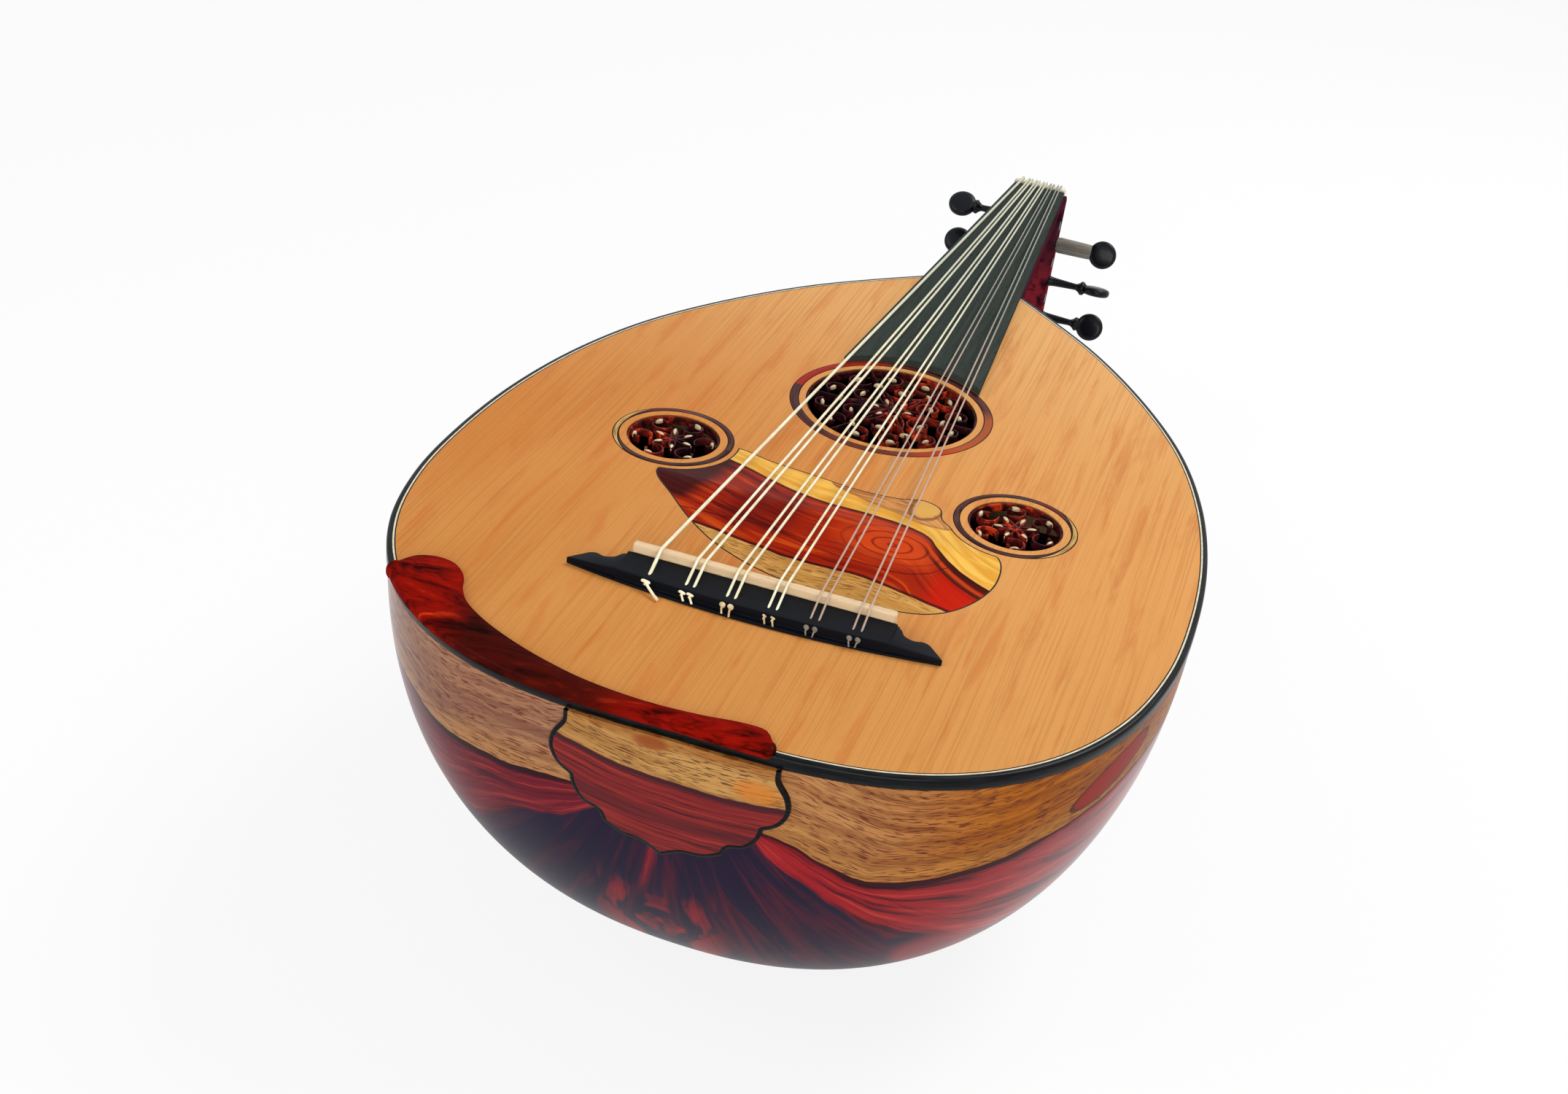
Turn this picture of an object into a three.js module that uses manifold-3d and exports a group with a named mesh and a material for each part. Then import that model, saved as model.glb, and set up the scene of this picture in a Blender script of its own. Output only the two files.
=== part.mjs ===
// An oud: a short-necked lute with a ribbed bowl, a flat soundboard with three roses,
// eleven strings (one single and five pairs) and a pegbox bent back from the neck.
// Millimetres. While it is modelled, +Y runs from the tail to the neck, +X is to the right
// seen from the tail, +Z is up and zero is the top of the soundboard at the tail.

import * as THREE from 'three';
import { mergeVertices } from 'three/addons/utils/BufferGeometryUtils.js';
import Module from 'manifold-3d';

const wasm = await Module();
wasm.setup();

// Driving dimensions

const SCALE_LENGTH = 585;          // saddle to nut, the sounding length
const SADDLE_PLACE = 105.5;        // tail to the edge of the saddle that stops the strings
const BODY_LENGTH = 505;           // tail to the neck joint
const BODY_HALF_WIDTH = 185.5;
const BOWL_DEPTH = 190;            // from the ribs' upper edge to the flat of the back
const BACK_FLAT = 0.6;             // how much the deepest stretch of the back is planed flat
const SEAM = 0.3;                  // clearance between pieces that are glued or seated
const OVERRUN = 5;                 // how far a cutter runs past what it cuts

const RIB_COUNT = 11;
const RIB_THICKNESS = 3;
const RIB_TIP_RADIUS = 26;         // the ribs stop here, under the tail cap
const LINING_THICKNESS = 4.5;      // rim ribs are thicker where the soundboard is glued on
const LINING_HEIGHT = 7;
const BOWL_STATIONS = 20;
const BOWL_SECTION_POWER = 2.25;   // 2 is a half ellipse, more is squarer
const RIB_FACETS = 2;

const SOUNDBOARD_THICKNESS = 2.2;
const INLAY_THICKNESS = 0.7;       // pickguard and rose rings, let in flush
const INLAY_DEPTH = INLAY_THICKNESS + SEAM;
const RIM_STEPS_PER_STATION = 2;

const BINDING_HEIGHT = 5.7;
const BINDING_TOP_WIDTH = 2.2;
const BINDING_SIDE_WIDTH = 1;
const BINDING_PROUD = 0.4;

const MAIN_ROSE = {
  placeShare: 0.6307, holeRadius: 46, ringMargin: 3.6, ringWidth: 5, rimCount: 28, arcCount: 5,
};
const SMALL_ROSE = {
  x: 89, holeRadius: 23.5, ringMargin: 2.7, ringWidth: 4.4, rimCount: 20, arcCount: 4,
};
const ROSE_SPACING = 15;           // clear room along the body between the large and small roses
const PETAL_COUNT = 6;
const ROSE_THICKNESS = 2.4;
const ROSE_LAND = 3;               // glued margin under the soundboard
const ROSE_STRIP = 2.2;            // width of the fretwork's strips

const GUARD = { halfWidth: 92, aheadOfSaddle: 18.5, behindRose: 29.9, roseClearance: 3 };

const ARM_GUARD = { thickness: 2.9, lip: 3, lipWidth: 1.6 };

const BRIDGE = {
  halfLength: 87, bodyHalfLength: 63, behindSaddle: 21.5, ledge: 3.5, tipFromBack: 8, lip: 0.9,
  footHeight: 1.3, backHeight: 5.6, frontHeight: 6.6, endHeight: 3.4,
};
const SADDLE = { halfLength: 61.7, thickness: 3.8, height: 10.4, ledge: 2 };
const KNOT = { length: 2.2, radiusShare: 1.6, endRadiusShare: 0.6, roundShare: 0.25 };
const STRING_BORE_CLEARANCE = 0.45;

const COURSE_PITCH_AT_SADDLE = 19.2;
const PAIR_PITCH_AT_SADDLE = 3.8;
const COURSE_PITCH_AT_NUT = 5.2;
const PAIR_PITCH_AT_NUT = 2.1;
const STRING_DIAMETERS = [1.3, 1.2, 1.2, 1.1, 1.1, 1, 1, 0.9, 0.9, 0.9, 0.9];
const STRING_SIDES = 5;

const NUT = { thickness: 4.6, height: 5.2, halfLength: 18 };
const FINGERBOARD_THICKNESS = 3.7;
const FINGERBOARD_HALF_AT_NUT = 17.6;
const FINGERBOARD_HALF_AT_ROSE = 41.3;   // the width that its taper would reach at the rose's middle
const NECK_DEPTH_AT_NUT = 21;

const PEGBOX = {
  bendDegrees: 80,                 // back from the line of the neck
  beyondLastPeg: 14.8, halfWidthTop: 19.2, halfWidthTip: 12.6, cheek: 4,
  frontTop: 11.5, frontTip: 6.5, backTop: 9.5, backTip: 8.6, floor: 3.2,
};
const PEG_LINE_BEHIND_NUT = 2.6;   // the line of the pegs meets the soundboard's level here
const FINIAL = { plug: 8, cap: 8.5, round: 4, roundCount: 4 };

const PEG_COUNT = 11;
const FIRST_PEG = 21;
const PEG_PITCH = 15;
const PEG = {
  radiusAtHead: 3.7, radiusAtEnd: 3.3, endStickout: 2, headCentre: 51.5, headRadius: 9.6,
  headThickness: 6.6, collarRadius: 4.9, collarLength: 3.2, neckRadius: 2.7, sides: 10,
};
const WINDING_TURNS = 3;
const WINDING_STEPS = 8;
const WINDING_GAP = 0.6;           // clear space between neighbouring turns

const TAIL_CAP = { halfWidth: 51, depth: 59, thickness: 1.7, stationCount: 8 };
const NECK_BLOCK_LENGTH = 34;
const TAIL_BLOCK = { halfWidth: 52, thickness: 12, depth: 66 };
const BRACE = { width: 6, height: 15 };

// Shares, chosen by hand, of the sizes that they follow

const BODY_OUTLINE_SHARES = [
  [0, 0], [0.3, 0.002], [0.5, 0.018], [0.68, 0.053], [0.82, 0.104], [0.925, 0.175],
  [0.985, 0.265], [1, 0.365], [0.982, 0.475], [0.925, 0.585], [0.825, 0.69], [0.67, 0.792],
  [0.475, 0.888], [0.3, 0.953],
];
const GUARD_OUTLINE_SHARES = [
  [-0.91, 0.62], [-0.74, 0.44], [-0.55, 0.27], [-0.37, 0.15], [-0.14, 0.055], [0.1, 0.005],
  [0.38, 0], [0.62, 0.01], [0.76, 0.045], [0.87, 0.12], [0.97, 0.27], [1.01, 0.44],
  [0.97, 0.62], [0.84, 0.7], [0.7, 0.76], [0.6, 0.83], [0.56, 0.92], [0.46, 0.955],
  [0.33, 0.915], [0.1, 0.9], [-0.14, 0.925], [-0.4, 0.95], [-0.6, 0.99], [-0.75, 0.95],
  [-0.85, 0.76],
];
const ARM_GUARD_INNER_SHARES = [
  [0.215, 0.012], [0.19, 0.024], [0.14, 0.0255], [0.04, 0.02], [-0.09, 0.0175], [-0.23, 0.0225],
  [-0.34, 0.033], [-0.44, 0.047], [-0.53, 0.064], [-0.595, 0.082], [-0.63, 0.1],
  [-0.652, 0.118], [-0.69, 0.131], [-0.74, 0.134], [-0.785, 0.127], [-0.81, 0.112],
];
const ARM_GUARD_RIM_SHARES = [-0.805, 0.205];
const CAP_OUTLINE_SHARES = [
  [0.89, 0], [0.9, 0.11], [0.99, 0.24], [1, 0.36], [0.93, 0.47], [0.82, 0.53], [0.79, 0.63],
  [0.7, 0.74], [0.57, 0.79], [0.51, 0.87], [0.38, 0.925], [0.2, 0.925], [0, 1],
];
const BRIDGE_END_SHARES = [
  [0, 0.62], [0.1, 0.62], [0.24, 0.38], [0.42, 0.34], [0.6, 0.52], [0.76, 0.42], [1, 0],
];
const PEG_TURN_SHARES = [0.06, 0.02, 0.11, 0.3, 0.05, 0.14, 0.27, 0.08, 0.2, 0.02, 0.16];
// Half a peg head's outline: shares of its radius and of half its thickness.
const PEG_HEAD_SHARES = [[0, -0.7], [0.8, -1], [1, -0.35], [1, 0.35], [0.8, 1], [0, 0.7]];
// The turned collar under the head: shares of its radius and its length, from the head's edge.
const PEG_COLLAR_SHARES = [[1, -0.4], [0.7, 1], [0, 1.5]];
const PETAL_RADIUS_SHARE = 0.46;
const PETAL_SPREAD_SHARE = 1 / 6;  // of a whole turn, each way
const LINK_PLACE_SHARE = 0.7;
const LINK_RADIUS_SHARE = 0.27;
const HUB_RADIUS_SHARE = 0.12;
// Each brace's share of the way: tail block to bridge, bridge to small roses, small roses to
// main rose, and twice from the main rose to the neck block.
const BRACE_PLACE_SHARES = [0.62, 0.5, 0.5, 0.16, 0.7];
const GUIDE_ARC_SHARE = 0.7;       // where the fingerboard's width is read for its curved end
const NECK_THINNING_SHARE = 1.1;
const LINING_ROOM_SHARE = 1 / 3;   // most of a rim rib's height that its lining may take
const TAIL_SHARE = 0.001;          // a place on the outline just beside its middle
const SHARPEST_BEND_SHARE = 0.8;

// Sizes that follow

const NUT_PLACE = SADDLE_PLACE + SCALE_LENGTH;
const NECK_END = NUT_PLACE + NUT.thickness;
const BRIDGE_BACK = SADDLE_PLACE - BRIDGE.behindSaddle;
const BRIDGE_TOP_BACK = BRIDGE_BACK + BRIDGE.ledge;
const BRIDGE_TIP = BRIDGE_BACK + BRIDGE.tipFromBack;
const BRIDGE_FRONT = SADDLE_PLACE + SADDLE.thickness + SEAM + BRIDGE.lip;
const MAIN_ROSE_PLACE = MAIN_ROSE.placeShare * BODY_LENGTH;
const MAIN_ROSE_REACH = MAIN_ROSE.holeRadius + ROSE_LAND;
const SMALL_ROSE_REACH = SMALL_ROSE.holeRadius + ROSE_LAND;
const SMALL_ROSE_PLACE = MAIN_ROSE_PLACE - MAIN_ROSE_REACH - ROSE_SPACING - SMALL_ROSE_REACH;
const MAIN_RING = roseRing(MAIN_ROSE);
const SMALL_RING = roseRing(SMALL_ROSE);
const GUARD_BASE = SADDLE_PLACE + GUARD.aheadOfSaddle;
const GUARD_HEIGHT = MAIN_ROSE_PLACE - MAIN_RING.outer - GUARD.behindRose - GUARD_BASE;
const PEGBOX_LENGTH = FIRST_PEG + PEG_PITCH * (PEG_COUNT - 1) + PEGBOX.beyondLastPeg;
const LAST_COURSE = Math.ceil((STRING_DIAMETERS.length - 1) / 2);
const FINGERBOARD_HALF_AT_JOINT = fingerboardHalf(BODY_LENGTH);
const RIB_TOP = SOUNDBOARD_THICKNESS + SEAM;
const SOUNDBOARD_INSET = BINDING_TOP_WIDTH + SEAM;
const LINING_BOTTOM = -(RIB_TOP + LINING_HEIGHT);
const LINING_END = LINING_BOTTOM - (LINING_THICKNESS - RIB_THICKNESS);
const BEND = THREE.MathUtils.degToRad(PEGBOX.bendDegrees);
const WHOLE_TURN = 2 * Math.PI;

// Solids

function toSolid(geometry) {
  const bare = geometry.index ? geometry.clone() : geometry;
  bare.deleteAttribute('normal');
  bare.deleteAttribute('uv');
  const merged = mergeVertices(bare, 1e-4);
  const mesh = new wasm.Mesh({
    numProp: 3,
    vertProperties: new Float32Array(merged.attributes.position.array),
    triVerts: new Uint32Array(merged.index.array),
  });
  mesh.merge();
  return new wasm.Manifold(mesh);
}

function toGeometry(solid) {
  const mesh = solid.getMesh();
  const geometry = new THREE.BufferGeometry();
  const corners = new Float32Array(mesh.vertProperties);
  geometry.setAttribute('position', new THREE.BufferAttribute(corners, 3));
  geometry.setIndex(new THREE.BufferAttribute(new Uint32Array(mesh.triVerts), 1));
  return geometry;
}

function joined(solids) {
  return solids.reduce((whole, next) => whole.add(next));
}

function extrudedUp(points, bottom, top) {
  const geometry = new THREE.ExtrudeGeometry(new THREE.Shape(points), {
    depth: top - bottom,
    bevelEnabled: false,
    curveSegments: 1,
  });
  return geometry.translate(0, 0, bottom);
}

// A plate drawn in the (y, z) plane and standing between two places along x.
function extrudedAcross(points, from, to) {
  const geometry = extrudedUp(points, from, to);
  const swap = new THREE.Matrix4().set(0, 0, 1, 0, 1, 0, 0, 0, 0, 1, 0, 0, 0, 0, 0, 1);
  return geometry.applyMatrix4(swap);
}

function block(fromX, toX, fromY, toY, fromZ, toZ) {
  const geometry = new THREE.BoxGeometry(toX - fromX, toY - fromY, toZ - fromZ);
  return geometry.translate((fromX + toX) / 2, (fromY + toY) / 2, (fromZ + toZ) / 2);
}

function circlePoints(x, y, radius, steps) {
  const points = [];
  for (let step = 0; step < steps; step += 1) {
    const angle = (WHOLE_TURN * step) / steps;
    points.push(new THREE.Vector2(x + radius * Math.cos(angle), y + radius * Math.sin(angle)));
  }
  return points;
}

function disc(x, y, radius, bottom, top, steps) {
  return toSolid(extrudedUp(circlePoints(x, y, radius, steps), bottom, top));
}

function annulus(x, y, inner, outer, bottom, top, steps) {
  const hole = disc(x, y, inner, bottom - OVERRUN, top + OVERRUN, steps);
  return disc(x, y, outer, bottom, top, steps).subtract(hole);
}

// Joins rings of points, all of one count, into one closed body with flat ends.
function loft(rings) {
  const count = rings[0].length;
  const positions = rings.flat().flatMap((point) => [point.x, point.y, point.z]);
  const triangles = [];
  for (let ring = 0; ring + 1 < rings.length; ring += 1) {
    for (let side = 0; side < count; side += 1) {
      const a = ring * count + side;
      const b = ring * count + ((side + 1) % count);
      triangles.push(a, b, b + count, a, b + count, a + count);
    }
  }
  endCap(rings[0]).forEach(([a, b, c]) => triangles.push(a, c, b));
  const last = (rings.length - 1) * count;
  endCap(rings.at(-1)).forEach(([a, b, c]) => triangles.push(last + a, last + b, last + c));
  const geometry = new THREE.BufferGeometry();
  geometry.setAttribute('position', new THREE.Float32BufferAttribute(positions, 3));
  geometry.setIndex(signedVolume(positions, triangles) < 0 ? triangles.reverse() : triangles);
  return geometry;
}

// Triangles over a ring, all of them turned the way that the ring runs.
function endCap(ring) {
  const normal = new THREE.Vector3();
  ring.forEach((point, index) => {
    normal.add(new THREE.Vector3().crossVectors(point, ring[(index + 1) % ring.length]));
  });
  normal.normalize();
  const across = new THREE.Vector3().subVectors(ring[1], ring[0]).normalize();
  const up = new THREE.Vector3().crossVectors(normal, across);
  const flat = ring.map((point) => new THREE.Vector2(point.dot(across), point.dot(up)));
  return THREE.ShapeUtils.triangulateShape(flat, []);
}

function signedVolume(positions, triangles) {
  const corner = (index) => new THREE.Vector3().fromArray(positions, 3 * triangles[index]);
  let volume = 0;
  for (let index = 0; index < triangles.length; index += 3) {
    volume += corner(index).dot(corner(index + 1).cross(corner(index + 2)));
  }
  return volume;
}

// A round tube through hand-placed or wound points, with a radius at each point.
function tube(points, radii, sides) {
  const rings = [];
  let side = new THREE.Vector3(1, 0, 0);
  points.forEach((point, index) => {
    const before = points[Math.max(index - 1, 0)];
    const after = points[Math.min(index + 1, points.length - 1)];
    const into = new THREE.Vector3().subVectors(point, before).normalize();
    const outOf = new THREE.Vector3().subVectors(after, point).normalize();
    const along = new THREE.Vector3().addVectors(into, outOf).normalize();
    side = side.clone().addScaledVector(along, -side.dot(along)).normalize();
    const up = new THREE.Vector3().crossVectors(along, side);
    const bend = new THREE.Vector3().subVectors(outOf, into);
    const half = Math.min(bend.length() / 2, SHARPEST_BEND_SHARE);
    const inTheMiddle = into.lengthSq() > 0 && outOf.lengthSq() > 0;
    const stretch = inTheMiddle ? 1 / Math.sqrt(1 - half * half) : 1;
    const outward = bend.lengthSq() > 0 ? bend.normalize() : up;
    const ring = [];
    for (let corner = 0; corner < sides; corner += 1) {
      const angle = (WHOLE_TURN * corner) / sides;
      const reach = side.clone().multiplyScalar(Math.cos(angle)).addScaledVector(up, Math.sin(angle));
      reach.addScaledVector(outward, reach.dot(outward) * (stretch - 1));
      ring.push(point.clone().addScaledVector(reach, radii[index]));
    }
    rings.push(ring);
  });
  return loft(rings);
}

// The outline of the body and the bowl under it

function bodyOutline() {
  const right = BODY_OUTLINE_SHARES.map(
    ([x, y]) => new THREE.Vector3(x * BODY_HALF_WIDTH, y * BODY_LENGTH, 0),
  );
  right.push(new THREE.Vector3(FINGERBOARD_HALF_AT_JOINT, BODY_LENGTH, 0));
  const left = right.slice(1).reverse().map((point) => new THREE.Vector3(-point.x, point.y, 0));
  return new THREE.CatmullRomCurve3([...left, ...right], false, 'centripetal');
}

const OUTLINE = bodyOutline();
OUTLINE.arcLengthDivisions = 800;

// A point of the outline: share 0 is the tail, 1 the neck joint, moved outwards by offset.
function outlinePoint(share, offset) {
  const place = 0.5 + share / 2;
  const point = OUTLINE.getPointAt(place);
  const along = OUTLINE.getTangentAt(place);
  return new THREE.Vector2(point.x + along.y * offset, point.y - along.x * offset);
}

// Places along the outline from the ribs' tips to the neck joint.
function stationShares(stepsPerStation = 1) {
  const outlineLength = OUTLINE.getLength() / 2;
  const first = RIB_TIP_RADIUS / outlineLength;
  const steps = BOWL_STATIONS * stepsPerStation;
  const shares = [];
  for (let step = 0; step <= steps; step += 1) {
    shares.push(first + ((1 - first) * step) / steps);
  }
  return shares;
}

// The outline from the left of the neck joint round the tail to its right.
function rimPoints(offset) {
  const right = stationShares(RIM_STEPS_PER_STATION).map((share) => {
    const point = outlinePoint(share, offset);
    return new THREE.Vector2(point.x, Math.min(point.y, BODY_LENGTH));
  });
  const tail = outlinePoint(0, offset);
  const left = right.map((point) => new THREE.Vector2(-point.x, point.y)).reverse();
  return [...left, tail, ...right];
}

const EDGE_ANGLE = Math.PI / 2 - Math.PI / (2 * RIB_COUNT);
const SECTION_SHARE = 2 / BOWL_SECTION_POWER;
const DEPTH_PER_WIDTH = (BOWL_DEPTH + BACK_FLAT)
  / (BODY_HALF_WIDTH * Math.sin(EDGE_ANGLE) ** SECTION_SHARE);

// A point of the bowl: angle 0 is the right rim, half a turn the left rim.
function bowlPoint(share, angle, inset) {
  const rim = outlinePoint(share, -inset);
  const cosine = Math.cos(angle);
  const out = Math.sign(cosine) * Math.abs(cosine) ** SECTION_SHARE;
  const down = Math.max(Math.sin(angle), 0) ** SECTION_SHARE;
  const depth = Math.min(DEPTH_PER_WIDTH * rim.x * down, BOWL_DEPTH - inset);
  return new THREE.Vector3(rim.x * out, rim.y, -(RIB_TOP + depth));
}

// The solid inside the bowl's outer face, moved inwards by inset or outwards if negative.
// The middle rib is one flat facet, so the ring has no point at its middle.
function bowlSolid(inset, shares) {
  const rings = shares.map((share) => {
    const ring = [];
    const facets = RIB_COUNT * RIB_FACETS;
    for (let facet = 0; facet <= facets; facet += 1) {
      if (2 * facet !== facets) {
        ring.push(bowlPoint(share, (Math.PI * facet) / facets, inset));
      }
    }
    const rim = outlinePoint(share, -inset);
    ring.push(new THREE.Vector3(-rim.x, rim.y, OVERRUN));
    ring.push(new THREE.Vector3(rim.x, rim.y, OVERRUN));
    return ring;
  });
  return toSolid(loft(rings));
}

function rib(number) {
  const seamAngle = (radius) => SEAM / 2 / radius;
  const from = (Math.PI * number) / RIB_COUNT;
  const to = (Math.PI * (number + 1)) / RIB_COUNT;
  const centre = number * 2 + 1 === RIB_COUNT;
  const facets = centre ? 1 : RIB_FACETS;
  const rings = stationShares().map((share) => {
    const shrink = seamAngle(outlinePoint(share, 0).x);
    const angles = [];
    for (let facet = 0; facet <= facets; facet += 1) {
      angles.push(from + shrink + ((to - from - 2 * shrink) * facet) / facets);
    }
    const outer = angles.map((angle) => bowlPoint(share, angle, 0));
    const inner = angles.map((angle) => bowlPoint(share, angle, RIB_THICKNESS));
    return [...outer, ...inner.reverse()];
  });
  return loft(rings);
}

// A rib at the rim: its upper edge is a lining that carries the soundboard and the binding.
function rimRib(side) {
  const to = Math.PI / RIB_COUNT;
  const bindingFoot = -(BINDING_HEIGHT + SEAM);
  const tongueInset = BINDING_SIDE_WIDTH + SEAM;
  const rings = stationShares().map((share) => {
    const shrink = SEAM / 2 / outlinePoint(share, 0).x;
    const at = (inset, level) => {
      const rim = outlinePoint(share, -inset);
      return new THREE.Vector3(rim.x, rim.y, level);
    };
    const middleAngle = to / RIB_FACETS;
    const lowest = bowlPoint(share, to - shrink, 0);
    const innerLowest = bowlPoint(share, to - shrink, RIB_THICKNESS);
    const middle = bowlPoint(share, middleAngle, 0);
    const innerMiddle = bowlPoint(share, middleAngle, RIB_THICKNESS);
    const room = lowest.z + RIB_TOP;
    const liningLevel = Math.max(LINING_BOTTOM, room * LINING_ROOM_SHARE - RIB_TOP);
    const underLining = liningLevel - (LINING_THICKNESS - RIB_THICKNESS);
    middle.z = Math.min(middle.z, (bindingFoot + lowest.z) / 2);
    innerMiddle.z = Math.min(innerMiddle.z, (underLining + lowest.z) / 2);
    const ring = [
      at(0, bindingFoot),
      middle,
      lowest,
      innerLowest,
      innerMiddle,
      at(RIB_THICKNESS, underLining),
      at(LINING_THICKNESS, liningLevel),
      at(LINING_THICKNESS, -RIB_TOP),
      at(tongueInset, -RIB_TOP),
      at(tongueInset, bindingFoot),
    ];
    ring.forEach((point) => { point.x *= side; });
    return side < 0 ? ring.reverse() : ring;
  });
  return loft(rings);
}

function insideBowl(shape) {
  const shares = [TAIL_SHARE, ...stationShares()];
  const wholeShares = shares.map((share) => Math.min(share, 1));
  const belowLining = block(
    -BODY_HALF_WIDTH, BODY_HALF_WIDTH, -OVERRUN, BODY_LENGTH, -2 * BOWL_DEPTH, LINING_END - SEAM,
  );
  const wide = bowlSolid(RIB_THICKNESS + SEAM, wholeShares).intersect(toSolid(belowLining));
  const narrow = bowlSolid(LINING_THICKNESS + SEAM, wholeShares);
  return toGeometry(toSolid(shape).intersect(wide.add(narrow)));
}

// The soundboard and what is let into it

// The ring let into the soundboard round a rose.
function roseRing(rose) {
  const inner = rose.holeRadius + rose.ringMargin;
  return { inner, outer: inner + rose.ringWidth };
}

function roses() {
  return [
    { ...MAIN_ROSE, name: 'main', x: 0, y: MAIN_ROSE_PLACE, ring: MAIN_RING },
    { ...SMALL_ROSE, name: 'left', x: -SMALL_ROSE.x, y: SMALL_ROSE_PLACE, ring: SMALL_RING },
    { ...SMALL_ROSE, name: 'right', y: SMALL_ROSE_PLACE, ring: SMALL_RING },
  ];
}

function guardSolid(grow, bottom, top) {
  const points = GUARD_OUTLINE_SHARES.map(
    ([x, y]) => new THREE.Vector2(x * GUARD.halfWidth, GUARD_BASE + y * GUARD_HEIGHT),
  );
  const middle = new THREE.Vector2(0, GUARD_BASE + GUARD_HEIGHT / 2);
  const grown = points.map((point) => {
    const away = point.clone().sub(middle);
    return point.clone().addScaledVector(away, grow / away.length());
  });
  let solid = toSolid(extrudedUp(grown, bottom, top));
  [-1, 1].forEach((side) => {
    const middle = [side * SMALL_ROSE.x, SMALL_ROSE_PLACE];
    const reach = SMALL_RING.outer + GUARD.roseClearance - grow;
    const heights = [bottom - OVERRUN, top + OVERRUN];
    solid = solid.subtract(disc(...middle, reach, ...heights, SMALL_ROSE.rimCount));
  });
  return solid;
}

function soundboard() {
  const top = OVERRUN;
  let board = toSolid(extrudedUp(rimPoints(-SOUNDBOARD_INSET), -SOUNDBOARD_THICKNESS, 0));
  roses().forEach((rose) => {
    board = board.subtract(
      disc(rose.x, rose.y, rose.holeRadius, -SOUNDBOARD_THICKNESS - OVERRUN, top, rose.rimCount),
    );
    board = board.subtract(annulus(
      rose.x, rose.y, rose.ring.inner - SEAM, rose.ring.outer + SEAM, -INLAY_DEPTH, top, rose.rimCount,
    ));
  });
  return toGeometry(board.subtract(guardSolid(SEAM, -INLAY_DEPTH, top)));
}

function binding() {
  const outer = rimPoints(BINDING_PROUD);
  const side = rimPoints(-BINDING_SIDE_WIDTH);
  const inner = rimPoints(-BINDING_TOP_WIDTH);
  const rings = outer.map((point, index) => {
    const at = (flat, level) => new THREE.Vector3(flat.x, flat.y, level);
    return [
      at(point, 0),
      at(point, -BINDING_HEIGHT),
      at(side[index], -BINDING_HEIGHT),
      at(side[index], -SOUNDBOARD_THICKNESS),
      at(inner[index], -SOUNDBOARD_THICKNESS),
      at(inner[index], 0),
    ];
  });
  return loft(rings);
}

// Roses: a rim, a flower of bowed petals and a linked circle in each petal, round a hub.

function arcPoints(x, y, radius, from, to, steps) {
  const points = [];
  for (let step = 0; step <= steps; step += 1) {
    const angle = from + ((to - from) * step) / steps;
    points.push(new THREE.Vector2(x + radius * Math.cos(angle), y + radius * Math.sin(angle)));
  }
  return points;
}

function stripArc(x, y, radius, from, to, steps, width) {
  const outer = arcPoints(x, y, radius + width / 2, from, to, steps);
  const inner = arcPoints(x, y, radius - width / 2, from, to, steps);
  return [...outer, ...inner.reverse()];
}

function rosePlate(rose) {
  const top = -(SOUNDBOARD_THICKNESS + SEAM);
  const bottom = top - ROSE_THICKNESS;
  const radius = rose.holeRadius;
  const margin = [radius - ROSE_STRIP / 2, radius + ROSE_LAND];
  const pieces = [annulus(rose.x, rose.y, ...margin, bottom, top, rose.rimCount)];
  const petal = radius * PETAL_RADIUS_SHARE;
  const link = radius * LINK_RADIUS_SHARE;
  const linkEdges = [link - ROSE_STRIP / 2, link + ROSE_STRIP / 2];
  for (let index = 0; index < PETAL_COUNT; index += 1) {
    const turn = (WHOLE_TURN * index) / PETAL_COUNT;
    const middle = new THREE.Vector2(rose.x, rose.y);
    const outwards = new THREE.Vector2(Math.cos(turn), Math.sin(turn));
    const bow = middle.clone().addScaledVector(outwards, petal);
    const inwards = turn + Math.PI;
    const spread = WHOLE_TURN * PETAL_SPREAD_SHARE;
    const ends = [inwards - spread, inwards + spread];
    const strip = stripArc(bow.x, bow.y, petal, ...ends, rose.arcCount, ROSE_STRIP);
    pieces.push(toSolid(extrudedUp(strip, bottom, top)));
    const ring = middle.clone().addScaledVector(outwards, radius * LINK_PLACE_SHARE);
    pieces.push(annulus(ring.x, ring.y, ...linkEdges, bottom, top, rose.arcCount * 2));
  }
  pieces.push(disc(rose.x, rose.y, radius * HUB_RADIUS_SHARE, bottom, top, rose.arcCount));
  return toGeometry(joined(pieces));
}

// Bridge, saddle and strings

function bridgeEnd(side) {
  const reach = BRIDGE.halfLength - BRIDGE.bodyHalfLength;
  const depth = BRIDGE_FRONT - BRIDGE_TIP;
  const points = BRIDGE_END_SHARES.map(([along, ahead]) => [
    BRIDGE.bodyHalfLength + along * reach, BRIDGE_TIP + ahead * depth,
  ]);
  points.unshift([0, BRIDGE_FRONT]);
  points.push([BRIDGE.bodyHalfLength, BRIDGE_BACK], [0, BRIDGE_BACK]);
  return points.map(([x, y]) => new THREE.Vector2(side * x, y));
}

function stringX(index, coursePitch, pairPitch) {
  const course = Math.ceil(index / 2);
  const middle = (course - LAST_COURSE / 2) * coursePitch;
  if (index === 0) {
    return middle;
  }
  return middle + (index % 2 === 1 ? -pairPitch / 2 : pairPitch / 2);
}

// Where a string lies behind the bridge and over the saddle, as (y, z).
function stringBehind(index) {
  const radius = STRING_DIAMETERS[index] / 2;
  const saddle = new THREE.Vector2(SADDLE_PLACE, SADDLE.height + SEAM + radius);
  const back = new THREE.Vector2(BRIDGE_TOP_BACK, (BRIDGE.footHeight + BRIDGE.backHeight) / 2);
  return { radius, saddle, back };
}

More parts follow.
